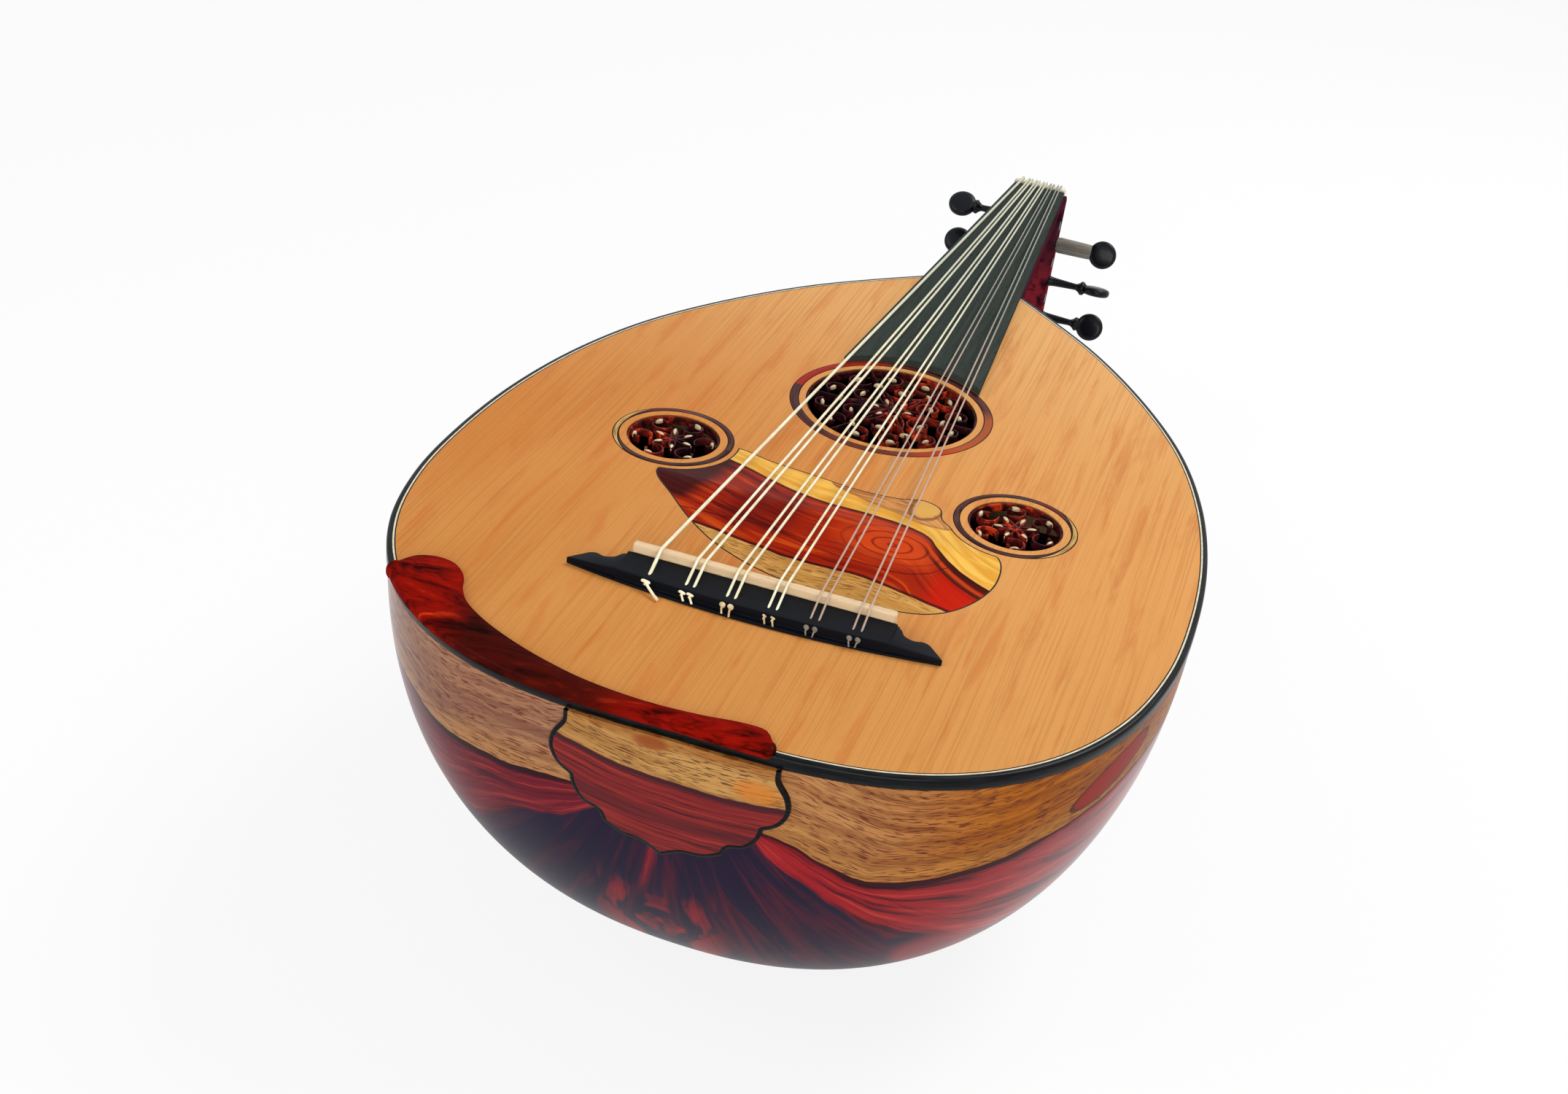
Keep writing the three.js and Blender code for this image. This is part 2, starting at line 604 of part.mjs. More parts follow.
function bridge() {
  const floor = SEAM;
  const section = [
    [BRIDGE_BACK, floor], [BRIDGE_FRONT, floor], [BRIDGE_FRONT, SADDLE.ledge],
    [SADDLE_PLACE - SEAM, SADDLE.ledge], [SADDLE_PLACE - SEAM, BRIDGE.frontHeight],
    [BRIDGE_TOP_BACK, BRIDGE.backHeight], [BRIDGE_TOP_BACK, BRIDGE.footHeight],
    [BRIDGE_BACK, BRIDGE.footHeight],
  ].map(([y, z]) => new THREE.Vector2(y, z));
  let solid = toSolid(extrudedAcross(section, -BRIDGE.bodyHalfLength, BRIDGE.bodyHalfLength));
  [-1, 1].forEach((side) => {
    const end = toSolid(extrudedUp(bridgeEnd(side), floor, BRIDGE.endHeight));
    const keep = block(
      side < 0 ? -2 * BRIDGE.halfLength : BRIDGE.bodyHalfLength - OVERRUN,
      side < 0 ? -BRIDGE.bodyHalfLength + OVERRUN : 2 * BRIDGE.halfLength,
      0, 2 * BRIDGE_FRONT, 0, BRIDGE.frontHeight,
    );
    solid = solid.add(end.intersect(toSolid(keep)));
  });
  STRING_DIAMETERS.forEach((diameter, index) => {
    solid = solid.subtract(stringBore(index));
  });
  const slot = block(
    -SADDLE.halfLength - SEAM, SADDLE.halfLength + SEAM,
    SADDLE_PLACE - SEAM, SADDLE_PLACE + SADDLE.thickness + SEAM,
    SADDLE.ledge, SADDLE.height,
  );
  return toGeometry(solid.subtract(toSolid(slot)));
}

function stringBore(index) {
  const { radius, saddle, back } = stringBehind(index);
  const x = stringX(index, COURSE_PITCH_AT_SADDLE, PAIR_PITCH_AT_SADDLE);
  const along = new THREE.Vector2().subVectors(saddle, back).normalize();
  const start = back.clone().addScaledVector(along, -OVERRUN);
  const end = back.clone().addScaledVector(along, (SADDLE_PLACE - BRIDGE_TOP_BACK) / along.x);
  const points = [start, end].map((point) => new THREE.Vector3(x, point.x, point.y));
  const bore = radius + STRING_BORE_CLEARANCE;
  return toSolid(tube(points, [bore, bore], 6));
}

function saddlePiece() {
  const back = SADDLE_PLACE;
  const foot = SADDLE.ledge + SEAM;
  return block(-SADDLE.halfLength, SADDLE.halfLength, back, back + SADDLE.thickness, foot, SADDLE.height);
}

// The pegbox's own directions: down its length and out of its open side, in (y, z).
const DOWN_BOX = new THREE.Vector2(Math.cos(BEND), -Math.sin(BEND));
const OUT_OF_BOX = new THREE.Vector2(Math.sin(BEND), Math.cos(BEND));

function inBox(along, out) {
  return new THREE.Vector2(NUT_PLACE - PEG_LINE_BEHIND_NUT, 0)
    .addScaledVector(DOWN_BOX, along)
    .addScaledVector(OUT_OF_BOX, out);
}

function boxTaper(top, tip, along) {
  return top + ((tip - top) * along) / PEGBOX_LENGTH;
}

function boxHalfWidth(along) {
  return boxTaper(PEGBOX.halfWidthTop, PEGBOX.halfWidthTip, along);
}

function pegPlace(peg) {
  return FIRST_PEG + PEG_PITCH * peg;
}

// Radius of a peg's shaft at a place along it, from the head's side of the box.
function shaftRadius(place, half) {
  const share = (half - place) / (2 * half);
  return PEG.radiusAtHead + (PEG.radiusAtEnd - PEG.radiusAtHead) * share;
}

// Left strings go to the pegs with heads on the left, outer strings to the nearest pegs.
function pegOfString(index) {
  const leftCount = Math.ceil(PEG_COUNT / 2);
  return index < leftCount ? 2 * index : 2 * (PEG_COUNT - 1 - index) + 1;
}

function stringRoute(index) {
  const { radius, saddle, back } = stringBehind(index);
  const saddleX = stringX(index, COURSE_PITCH_AT_SADDLE, PAIR_PITCH_AT_SADDLE);
  const nutX = stringX(index, COURSE_PITCH_AT_NUT, PAIR_PITCH_AT_NUT);
  const overNut = NUT.height + SEAM + radius;
  const along = new THREE.Vector2().subVectors(saddle, back).normalize();
  const behind = (distance) => {
    const place = back.clone().addScaledVector(along, -distance);
    return new THREE.Vector3(saddleX, place.x, place.y);
  };
  const points = [
    behind(SEAM + KNOT.length),
    behind(SEAM + KNOT.length * (1 - KNOT.roundShare)),
    behind(SEAM + KNOT.length * KNOT.roundShare),
    behind(SEAM),
    behind(0),
    new THREE.Vector3(saddleX, saddle.x, saddle.y),
    new THREE.Vector3(nutX, NUT_PLACE, overNut),
    new THREE.Vector3(nutX, NECK_END + 2 * SEAM + radius, overNut),
  ];
  const knot = radius * KNOT.radiusShare;
  const wound = windingPoints(index, radius);
  const radii = [...points, ...wound].map(() => radius);
  radii.splice(0, 3, radius * KNOT.endRadiusShare, knot, knot);
  return { points: [...points, ...wound], radii, radius, wound };
}

// The outermost string on each side winds inwards from the wall, the others wind outwards,
// so that no string runs across the turns of the string before it.
function windingPoints(index, radius) {
  const peg = pegOfString(index);
  const place = pegPlace(peg);
  const side = peg % 2 === 0 ? -1 : 1;
  const inner = boxHalfWidth(place) - PEGBOX.cheek;
  const pitch = 2 * radius + WINDING_GAP;
  const width = pitch * WINDING_TURNS;
  const outermost = inner - WINDING_GAP - radius;
  const inwards = peg < 2;
  const start = side * (inwards ? outermost : outermost - width);
  const step = side * (inwards ? -pitch : pitch);
  const points = [];
  for (let corner = 0; corner <= WINDING_TURNS * WINDING_STEPS; corner += 1) {
    const turn = corner / WINDING_STEPS;
    const x = start + step * turn;
    const shaft = shaftRadius(side * x, boxHalfWidth(place));
    const reach = (shaft + SEAM + radius) / Math.cos(Math.PI / WINDING_STEPS);
    const angle = WHOLE_TURN * turn;
    const at = inBox(place + reach * Math.sin(angle), reach * Math.cos(angle));
    points.push(new THREE.Vector3(x, at.x, at.y));
  }
  const last = points.at(-1).clone().addScaledVector(
    new THREE.Vector3(0, DOWN_BOX.x, DOWN_BOX.y), 2 * radius,
  );
  return [...points, last];
}

// Least clear space between parts of a string's winding that are not next to each other.
function leastSelfGap(route) {
  let least = Infinity;
  const { wound, radius } = route;
  for (let a = 0; a < wound.length; a += 1) {
    for (let b = a + Math.ceil(WINDING_STEPS / 2); b < wound.length; b += 1) {
      least = Math.min(least, wound[a].distanceTo(wound[b]) - 2 * radius);
    }
  }
  return least;
}

// Neck, fingerboard, nut

function fingerboardHalf(y) {
  const share = (NUT_PLACE - y) / (NUT_PLACE - MAIN_ROSE_PLACE);
  return FINGERBOARD_HALF_AT_NUT + (FINGERBOARD_HALF_AT_ROSE - FINGERBOARD_HALF_AT_NUT) * share;
}

function fingerboard() {
  const steps = 12;
  const reach = MAIN_RING.outer;
  const guide = fingerboardHalf(MAIN_ROSE_PLACE + reach * GUIDE_ARC_SHARE);
  const half = fingerboardHalf(MAIN_ROSE_PLACE + reach * Math.cos(Math.asin(guide / reach)));
  const spread = Math.asin(half / reach);
  const points = [
    new THREE.Vector2(-FINGERBOARD_HALF_AT_NUT, NUT_PLACE - SEAM),
    new THREE.Vector2(FINGERBOARD_HALF_AT_NUT, NUT_PLACE - SEAM),
  ];
  for (let step = 0; step <= steps; step += 1) {
    const angle = spread - (2 * spread * step) / steps;
    points.push(new THREE.Vector2(reach * Math.sin(angle), MAIN_ROSE_PLACE + reach * Math.cos(angle)));
  }
  return extrudedUp(points.reverse(), SEAM, SEAM + FINGERBOARD_THICKNESS);
}

function mitreCorner() {
  const along = (NECK_DEPTH_AT_NUT + inBox(0, -PEGBOX.backTop).y) / Math.sin(BEND);
  return inBox(along, -boxTaper(PEGBOX.backTop, PEGBOX.backTip, along));
}

function neck() {
  const stations = 6;
  const facets = 14;
  const jointDepth = RIB_TOP + DEPTH_PER_WIDTH * FINGERBOARD_HALF_AT_JOINT;
  const rings = [];
  const start = BODY_LENGTH + SEAM;
  for (let station = 0; station <= stations; station += 1) {
    const share = station / stations;
    const y = start + (NECK_END + NECK_DEPTH_AT_NUT - start) * share;
    const half = fingerboardHalf(Math.min(y, NECK_END)) + SEAM * 2;
    const thinned = Math.min(1, share * NECK_THINNING_SHARE);
    const depth = jointDepth + (NECK_DEPTH_AT_NUT - jointDepth) * thinned;
    const power = 2 / (BOWL_SECTION_POWER + share);
    const ring = [];
    for (let facet = 0; facet <= facets; facet += 1) {
      const angle = (Math.PI * facet) / facets;
      const cosine = Math.cos(angle);
      const x = half * Math.sign(cosine) * Math.abs(cosine) ** power;
      ring.push(new THREE.Vector3(x, y, -depth * Math.max(Math.sin(angle), 0) ** power));
    }
    rings.push(ring);
  }
  const corner = mitreCorner();
  const run = new THREE.Vector2(NECK_END - corner.x, -corner.y);
  const beyond = [
    new THREE.Vector2(NECK_END, 0).addScaledVector(run, 1),
    new THREE.Vector2(NECK_END, 0),
    corner,
    corner.clone().addScaledVector(run, -1),
    new THREE.Vector2(2 * NECK_END, corner.y - run.y),
    new THREE.Vector2(2 * NECK_END, run.y),
  ];
  const cutter = extrudedAcross(beyond, -BODY_HALF_WIDTH, BODY_HALF_WIDTH);
  return toGeometry(toSolid(loft(rings)).subtract(toSolid(cutter)));
}

function nutPiece() {
  return block(-NUT.halfLength, NUT.halfLength, NUT_PLACE, NECK_END, SEAM, NUT.height);
}

// Pegbox

function boxOutlineBelowMitre() {
  const corner = mitreCorner();
  const run = new THREE.Vector2(NECK_END - corner.x, -corner.y).normalize();
  const away = new THREE.Vector2(run.y, -run.x).multiplyScalar(SEAM);
  const top = new THREE.Vector2(NECK_END, 0).add(away).addScaledVector(run, -2 * SEAM);
  return [
    top,
    inBox(SEAM, PEGBOX.frontTop),
    inBox(PEGBOX_LENGTH, PEGBOX.frontTip),
    inBox(PEGBOX_LENGTH, -PEGBOX.backTip),
    corner.clone().add(away),
  ];
}

// Turns a plate that lies flat at x = 0 into one that follows the box's tapering side.
function leanToSide(geometry, side) {
  const position = geometry.attributes.position;
  for (let index = 0; index < position.count; index += 1) {
    const place = new THREE.Vector2(position.getY(index), position.getZ(index)).sub(inBox(0, 0));
    const half = boxHalfWidth(place.dot(DOWN_BOX));
    position.setX(index, side * (half - PEGBOX.cheek + position.getX(index)));
  }
  return geometry;
}

function cheek(side) {
  const plate = extrudedAcross(boxOutlineBelowMitre(), 0, PEGBOX.cheek);
  const leaning = leanToSide(plate, side);
  if (side < 0) {
    flipTriangles(leaning);
  }
  let solid = toSolid(leaning);
  for (let peg = 0; peg < PEG_COUNT; peg += 1) {
    const head = peg % 2 === 0 ? -1 : 1;
    const half = boxHalfWidth(pegPlace(peg));
    const middle = side * (half - PEGBOX.cheek / 2);
    const radius = (shaftRadius(head * middle, half) + SEAM) / Math.cos(Math.PI / PEG.sides);
    const centre = inBox(pegPlace(peg), 0);
    const hole = circlePoints(centre.x, centre.y, radius, PEG.sides);
    const reach = PEGBOX.cheek + OVERRUN;
    solid = solid.subtract(toSolid(extrudedAcross(hole, middle - reach, middle + reach)));
  }
  return toGeometry(solid);
}

function flipTriangles(geometry) {
  const position = geometry.attributes.position;
  for (let index = 0; index < position.count; index += 3) {
    const a = new THREE.Vector3().fromBufferAttribute(position, index);
    const b = new THREE.Vector3().fromBufferAttribute(position, index + 1);
    position.setXYZ(index, b.x, b.y, b.z);
    position.setXYZ(index + 1, a.x, a.y, a.z);
  }
}

// A four-cornered ring square to the box's length, by its half width, front and back.
function boxRing(along, half, front, back) {
  const corners = [[-half, -back], [half, -back], [half, front], [-half, front]];
  return corners.map(([x, out]) => {
    const flat = inBox(along, out);
    return new THREE.Vector3(x, flat.x, flat.y);
  });
}

function pegboxFloor() {
  const corner = mitreCorner();
  const first = corner.clone().sub(inBox(0, 0)).dot(DOWN_BOX) + SEAM * 2;
  const last = PEGBOX_LENGTH - FINIAL.plug - SEAM;
  return loft([first, last].map((along) => {
    const half = boxHalfWidth(along) - PEGBOX.cheek - SEAM;
    const back = boxTaper(PEGBOX.backTop, PEGBOX.backTip, along);
    return boxRing(along, half, PEGBOX.floor - back, back);
  }));
}

// The turned-down end of the box: a plug between the cheeks and a rounded cap below them.
function finial() {
  const end = PEGBOX_LENGTH;
  const ring = (along, pull) => boxRing(
    along, PEGBOX.halfWidthTip - pull, PEGBOX.frontTip - pull, PEGBOX.backTip - pull,
  );
  const plugHalf = PEGBOX.halfWidthTip - PEGBOX.cheek - SEAM;
  const plug = loft([end - FINIAL.plug, end + 2 * SEAM].map(
    (along) => boxRing(along, plugHalf, PEGBOX.frontTip - SEAM, PEGBOX.backTip - SEAM),
  ));
  const start = end + SEAM;
  const capRings = [ring(start, 0)];
  for (let step = 0; step <= FINIAL.roundCount; step += 1) {
    const angle = (Math.PI / 2) * (step / FINIAL.roundCount);
    const along = start + (FINIAL.cap - FINIAL.round) + FINIAL.round * Math.sin(angle);
    capRings.push(ring(along, FINIAL.round * (1 - Math.cos(angle))));
  }
  return toGeometry(toSolid(plug).add(toSolid(loft(capRings))));
}

// A peg, drawn along +x with its head on the right, turned about its own axis.
function peg(number) {
  const half = boxHalfWidth(pegPlace(number));
  const headStart = PEG.headCentre - PEG.headRadius;
  const collar = PEG_COLLAR_SHARES.map(([radius, along]) => [
    radius * PEG.collarRadius, headStart + along * PEG.collarLength,
  ]);
  const profile = [
    [0, -(half + PEG.endStickout)],
    [shaftRadius(-half, half), -(half + PEG.endStickout)],
    [PEG.radiusAtHead, half],
    [PEG.neckRadius, headStart - PEG.collarLength],
    ...collar,
  ].map(([radius, along]) => new THREE.Vector2(radius, along));
  const shaft = new THREE.LatheGeometry(profile, PEG.sides).rotateZ(-Math.PI / 2);
  const headProfile = PEG_HEAD_SHARES.map(
    ([radius, along]) => new THREE.Vector2(radius * PEG.headRadius, along * PEG.headThickness / 2),
  );
  const head = new THREE.LatheGeometry(headProfile, PEG.sides).translate(PEG.headCentre, 0, 0);
  const solid = toSolid(shaft).add(toSolid(head));
  const centre = inBox(pegPlace(number), 0);
  const geometry = toGeometry(solid).rotateX(WHOLE_TURN * PEG_TURN_SHARES[number]);
  if (number % 2 === 0) {
    geometry.rotateZ(Math.PI);
  }
  return geometry.translate(0, centre.x, centre.y);
}

// Tail cap, arm guard, blocks and braces

function tailCap() {
  const top = -(BINDING_HEIGHT + SEAM);
  const right = CAP_OUTLINE_SHARES.map(
    ([x, y]) => new THREE.Vector2(x * TAIL_CAP.halfWidth, top - y * TAIL_CAP.depth),
  );
  const left = right.slice(0, -1).reverse().map((point) => new THREE.Vector2(-point.x, point.y));
  const outline = [...right, ...left].map((point) => new THREE.Vector2(point.x, -point.y));
  const plate = extrudedUp(outline, -OVERRUN, TAIL_CAP.halfWidth).rotateX(-Math.PI / 2);
  plate.scale(1, -1, 1);
  flipTriangles(plate);
  const shares = [TAIL_SHARE, ...stationShares().slice(0, TAIL_CAP.stationCount)];
  const skin = bowlSolid(-(SEAM + TAIL_CAP.thickness), shares).subtract(bowlSolid(-SEAM, shares));
  return toGeometry(toSolid(plate).intersect(skin));
}

function armGuard() {
  const inner = ARM_GUARD_INNER_SHARES.map(
    ([x, y]) => new THREE.Vector2(x * BODY_HALF_WIDTH, y * BODY_LENGTH),
  );
  const [fromX, toX] = ARM_GUARD_RIM_SHARES.map((share) => share * BODY_HALF_WIDTH);
  const along = (offset) => rimPoints(offset).filter(
    (point) => point.x > fromX && point.x < toX && point.y < BODY_LENGTH / 2,
  );
  const proud = BINDING_PROUD + SEAM;
  const outerEdge = along(proud + ARM_GUARD.lipWidth);
  const lipInner = along(proud);
  const plate = toSolid(extrudedUp([...inner, ...outerEdge], SEAM, ARM_GUARD.thickness));
  const lipOutline = [...lipInner.reverse(), ...outerEdge];
  const lip = toSolid(extrudedUp(lipOutline, -ARM_GUARD.lip, ARM_GUARD.thickness));
  return toGeometry(plate.add(lip));
}

function neckBlock() {
  const back = BODY_LENGTH - NECK_BLOCK_LENGTH;
  return insideBowl(block(
    -BODY_HALF_WIDTH, BODY_HALF_WIDTH, back, BODY_LENGTH, -BOWL_DEPTH, -RIB_TOP,
  ));
}

function tailBlock() {
  return insideBowl(block(
    -TAIL_BLOCK.halfWidth, TAIL_BLOCK.halfWidth, 0, RIB_THICKNESS + TAIL_BLOCK.thickness,
    -TAIL_BLOCK.depth, -RIB_TOP,
  ));
}

function bracePlaces() {
  const beyondRose = [MAIN_ROSE_PLACE + MAIN_ROSE_REACH, BODY_LENGTH - NECK_BLOCK_LENGTH];
  const ways = [
    [RIB_THICKNESS + TAIL_BLOCK.thickness, BRIDGE_BACK],
    [BRIDGE_FRONT, SMALL_ROSE_PLACE - SMALL_ROSE_REACH],
    [SMALL_ROSE_PLACE + SMALL_ROSE_REACH, MAIN_ROSE_PLACE - MAIN_ROSE_REACH],
    beyondRose,
    beyondRose,
  ];
  return ways.map(([from, to], index) => from + (to - from) * BRACE_PLACE_SHARES[index]);
}

function brace(place) {
  return insideBowl(block(
    -BODY_HALF_WIDTH, BODY_HALF_WIDTH, place - BRACE.width / 2, place + BRACE.width / 2,
    -(RIB_TOP + BRACE.height), -RIB_TOP,
  ));
}

// Materials

function finish(color, roughness) {
  return new THREE.MeshStandardMaterial({ color, roughness, metalness: 0 });
}

const MATERIALS = {
  cedar: finish(0xd9a066, 0.55),
  redWood: finish(0x6e1f14, 0.25),
  darkWood: finish(0x2c1210, 0.25),
  sapwood: finish(0xc69a4e, 0.3),
  ebony: finish(0x17181a, 0.35),
  maple: finish(0xe0c39a, 0.5),
  bone: finish(0xe9e2c8, 0.4),
  fretwork: finish(0x4a1712, 0.4),
  spruce: finish(0xd9bf94, 0.7),
  string: finish(0xe4e2d2, 0.35),
};

// The whole oud

const oud = new THREE.Group();

function place(name, geometry, material) {
  const mesh = new THREE.Mesh(geometry, material);
  mesh.name = name;
  oud.add(mesh);
}

for (let number = 1; number <= RIB_COUNT; number += 1) {
  if (number === 1 || number === RIB_COUNT) {
    place(`bowl_rib_${number}`, rimRib(number === 1 ? 1 : -1), MATERIALS.sapwood);
  } else {
    place(`bowl_rib_${number}`, rib(number - 1), MATERIALS.redWood);
  }
}
place('soundboard', soundboard(), MATERIALS.cedar);
place('edge_binding', binding(), MATERIALS.ebony);
roses().forEach((rose) => {
  place(`rose_${rose.name}`, rosePlate(rose), MATERIALS.fretwork);
  place(`rose_ring_${rose.name}`, toGeometry(annulus(
    rose.x, rose.y, rose.ring.inner, rose.ring.outer, -INLAY_THICKNESS, 0, rose.rimCount,
  )), MATERIALS.redWood);
});
place('pickguard', toGeometry(guardSolid(0, -INLAY_THICKNESS, 0)), MATERIALS.redWood);
place('arm_guard', armGuard(), MATERIALS.redWood);
place('tail_cap', tailCap(), MATERIALS.sapwood);
place('tail_block', tailBlock(), MATERIALS.spruce);
place('neck_block', neckBlock(), MATERIALS.spruce);
bracePlaces().forEach((y, index) => place(`brace_${index + 1}`, brace(y), MATERIALS.spruce));
place('bridge', bridge(), MATERIALS.ebony);
place('saddle', saddlePiece(), MATERIALS.maple);
place('neck', neck(), MATERIALS.darkWood);
place('fingerboard', fingerboard(), MATERIALS.ebony);
place('nut', nutPiece(), MATERIALS.bone);
place('pegbox_cheek_left', cheek(-1), MATERIALS.redWood);
place('pegbox_cheek_right', cheek(1), MATERIALS.redWood);
place('pegbox_floor', pegboxFloor(), MATERIALS.redWood);
place('pegbox_finial', finial(), MATERIALS.ebony);
for (let number = 0; number < PEG_COUNT; number += 1) {
  place(`peg_${number + 1}`, peg(number), MATERIALS.ebony);
}
STRING_DIAMETERS.forEach((diameter, index) => {
  const route = stringRoute(index);
  console.log(`string_${index + 1}: its turns keep ${leastSelfGap(route).toFixed(2)} mm apart`);
  place(`string_${index + 1}`, tube(route.points, route.radii, STRING_SIDES), MATERIALS.string);
});

// The origin is under the middle of the oud, on the surface that it lies on.
const box = new THREE.Box3().setFromObject(oud);
oud.position.set(-(box.min.x + box.max.x) / 2, -(box.min.y + box.max.y) / 2, -box.min.z);

export default oud;
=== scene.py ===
"""The looks of an oud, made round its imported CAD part.

Lengths are millimetres until piece() turns them into metres. +Y runs from the tail to the neck,
+X is to the right seen from the tail, and zero is the top of the soundboard at the tail.
"""
from math import asin, ceil, cos, pi, radians, sin, sqrt
from types import SimpleNamespace as Sizes

import bmesh
import bpy
import numpy as np
from mathutils import Matrix, Vector
from mathutils.geometry import tessellate_polygon


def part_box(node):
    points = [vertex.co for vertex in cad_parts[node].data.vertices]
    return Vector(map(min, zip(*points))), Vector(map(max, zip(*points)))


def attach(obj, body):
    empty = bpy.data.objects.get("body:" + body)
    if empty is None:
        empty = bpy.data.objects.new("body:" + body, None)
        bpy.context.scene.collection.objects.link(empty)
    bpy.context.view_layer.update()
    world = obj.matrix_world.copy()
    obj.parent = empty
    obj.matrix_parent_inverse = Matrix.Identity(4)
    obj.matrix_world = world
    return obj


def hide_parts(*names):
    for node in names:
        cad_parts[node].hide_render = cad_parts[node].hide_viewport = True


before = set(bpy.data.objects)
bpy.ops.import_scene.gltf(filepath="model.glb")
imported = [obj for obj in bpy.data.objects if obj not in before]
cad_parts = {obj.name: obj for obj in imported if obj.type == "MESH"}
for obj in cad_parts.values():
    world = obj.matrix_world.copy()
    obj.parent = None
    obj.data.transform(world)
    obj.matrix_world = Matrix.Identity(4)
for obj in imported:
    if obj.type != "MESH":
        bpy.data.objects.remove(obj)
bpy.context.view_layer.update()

# Driving dimensions. Those that the CAD part has too are the same there.

SIDES = (("left", -1), ("right", 1))
SEAM = 0.3
SCALE_LENGTH = 585
SADDLE_PLACE = 105.5
BODY_LENGTH = 505
BODY_HALF_WIDTH = 185.5
BOWL_DEPTH = 190
BACK_FLAT = 0.6
BACK_BLEND = 3
RIB_COUNT = 11
RIB_THICKNESS = 3
RIB_TIP_RADIUS = 26
RIB_GRID = (110, 13)
RIM_STEPS = 361
BOWL_SECTION_POWER = 2.25
SOUNDBOARD_THICKNESS = 2.2
INLAY_DEPTH = 1.0
BINDING_HEIGHT = 5.7
MAIN_ROSE = Sizes(name="main", x=0, y=318.5, hole=46, ring=(49.6, 54.6), tilt=0)
SMALL_ROSES = [
    Sizes(name=name, x=89 * side, y=228, hole=23.5, ring=(27.3, 30.7), tilt=radians(15) * side)
    for name, side in SIDES
]
ROSES = [MAIN_ROSE, *SMALL_ROSES]
GUARD = Sizes(
    half_width=92, base=124, height=110, rose_reach=33.6,
    grow=0.35, top=0.06, soft=0.08, line_grow=0.1, line_width=0.8, line_top=0.07,
    line_soft_share=0.1,
)
BRIDGE = Sizes(
    half=87, body_half=63, back=84, top_back=87.5, tip=92, front=110.5,
    foot=1.3, back_height=5.6, front_height=6.6, end_height=3.4,
    soft=0.3, back_soft=0.4, overlap=0.5, blunt=1, foot_reach=0.8, foot_soft=0.2,
)
SADDLE = Sizes(
    half=61.7, thickness=3.8, height=10.4, ledge=2, crown=0.2, soft=0.7,
    course_pitch=19.2, pair_pitch=3.8,
)
STRING_DIAMETERS = [1.7, 1.4, 1.4, 1.3, 1.3, 1.2, 1.2, 1, 1, 1, 1]
WOUND_STRINGS = 7
NUT = Sizes(
    place=SADDLE_PLACE + SCALE_LENGTH, thickness=4.6, height=5.2, half=18, crown=0.25, soft=0.9,
    course_pitch=5.2, pair_pitch=2.1,
)
NECK_END = NUT.place + NUT.thickness
NECK_DEPTH_AT_NUT = 21
FINGERBOARD = Sizes(thickness=3.7, half_at_nut=17.6, half_at_rose=41.3, soft=0.6, ring_share=0.72)
PEGBOX = Sizes(
    origin=687.9, length=185.8, half_top=19.2, half_tip=12.6, cheek=4,
    front=(11.5, 6.5), back=(9.5, 8.6), floor=3.2, hole_play=0.1, soft=0.6,
    nose=(1.5, 7.5), front_start=6, back_start=22,
)
BEND = radians(80)
PEG_COUNT = 11
FIRST_PEG = 21
PEG_PITCH = 15
PEG = Sizes(
    radius=(3.7, 3.3), head_place=51.5, head_radius=9.6, head_thickness=6.6,
    collar_radius=4.9, collar_length=3.2, neck_radius=2.2,
)
WINDING_TURNS = 3
WINDING_STEPS = 28
WINDING_GAP = 0.6
STRING_BEHIND = 1.2
STRING_OVER_SADDLE = (0.6, 0.02)

# Sizes of what the scene adds

BOARD_INSET = 3.6
BED_GAP = 0.06
INLAY_BOTTOM = -0.9
RING = Sizes(top=0.05, soft=0.06)
PURFLING = Sizes(bottom=-2.0, top=0.02, pale=(-3.0, -2.24), dark=(-3.56, -3.04))
FRET = Sizes(
    thickness=2.4, face=-0.9, soft=0.2, heart_soft=0.4, overlap=3, ledge=1, collar=(0.15, 1.2),
    petals=6, spoke_shares=(0.3, 0.97), seed_rise=0.4, outer_seed=5.2, scroll_seed=4.9,
    closing_share=0.45, ball_share=0.95, ball_soft=0.3, steps=26,
)
TAIL_CAP = Sizes(half_width=51, height=59, middle=-24, back=0.3, face=2.0, hub_share=0.04, steps=14)
ARM_GUARD = Sizes(
    overhang=1.8, lip=0.7, lip_bottom=-1.8, lip_soft=0.4, height=3.0, crown_share=0.45,
    soft=2.2, round_end=4, steps=90,
)
FINIAL = Sizes(collar=2, groove=0.5, groove_depth=0.6, dome_start=4.5, dome=4, plug=8)
RIB_TOP = SOUNDBOARD_THICKNESS + SEAM
ROSE_TOP = -RIB_TOP
ROSE_BOTTOM = ROSE_TOP - FRET.thickness
UNDER_BINDING = -(BINDING_HEIGHT + SEAM)
EDGE_RIBS = (0, RIB_COUNT - 1)
KNOT_LEVEL = (BRIDGE.foot + BRIDGE.back_height) / 2
HEAD_START = PEG.head_place - PEG.head_radius
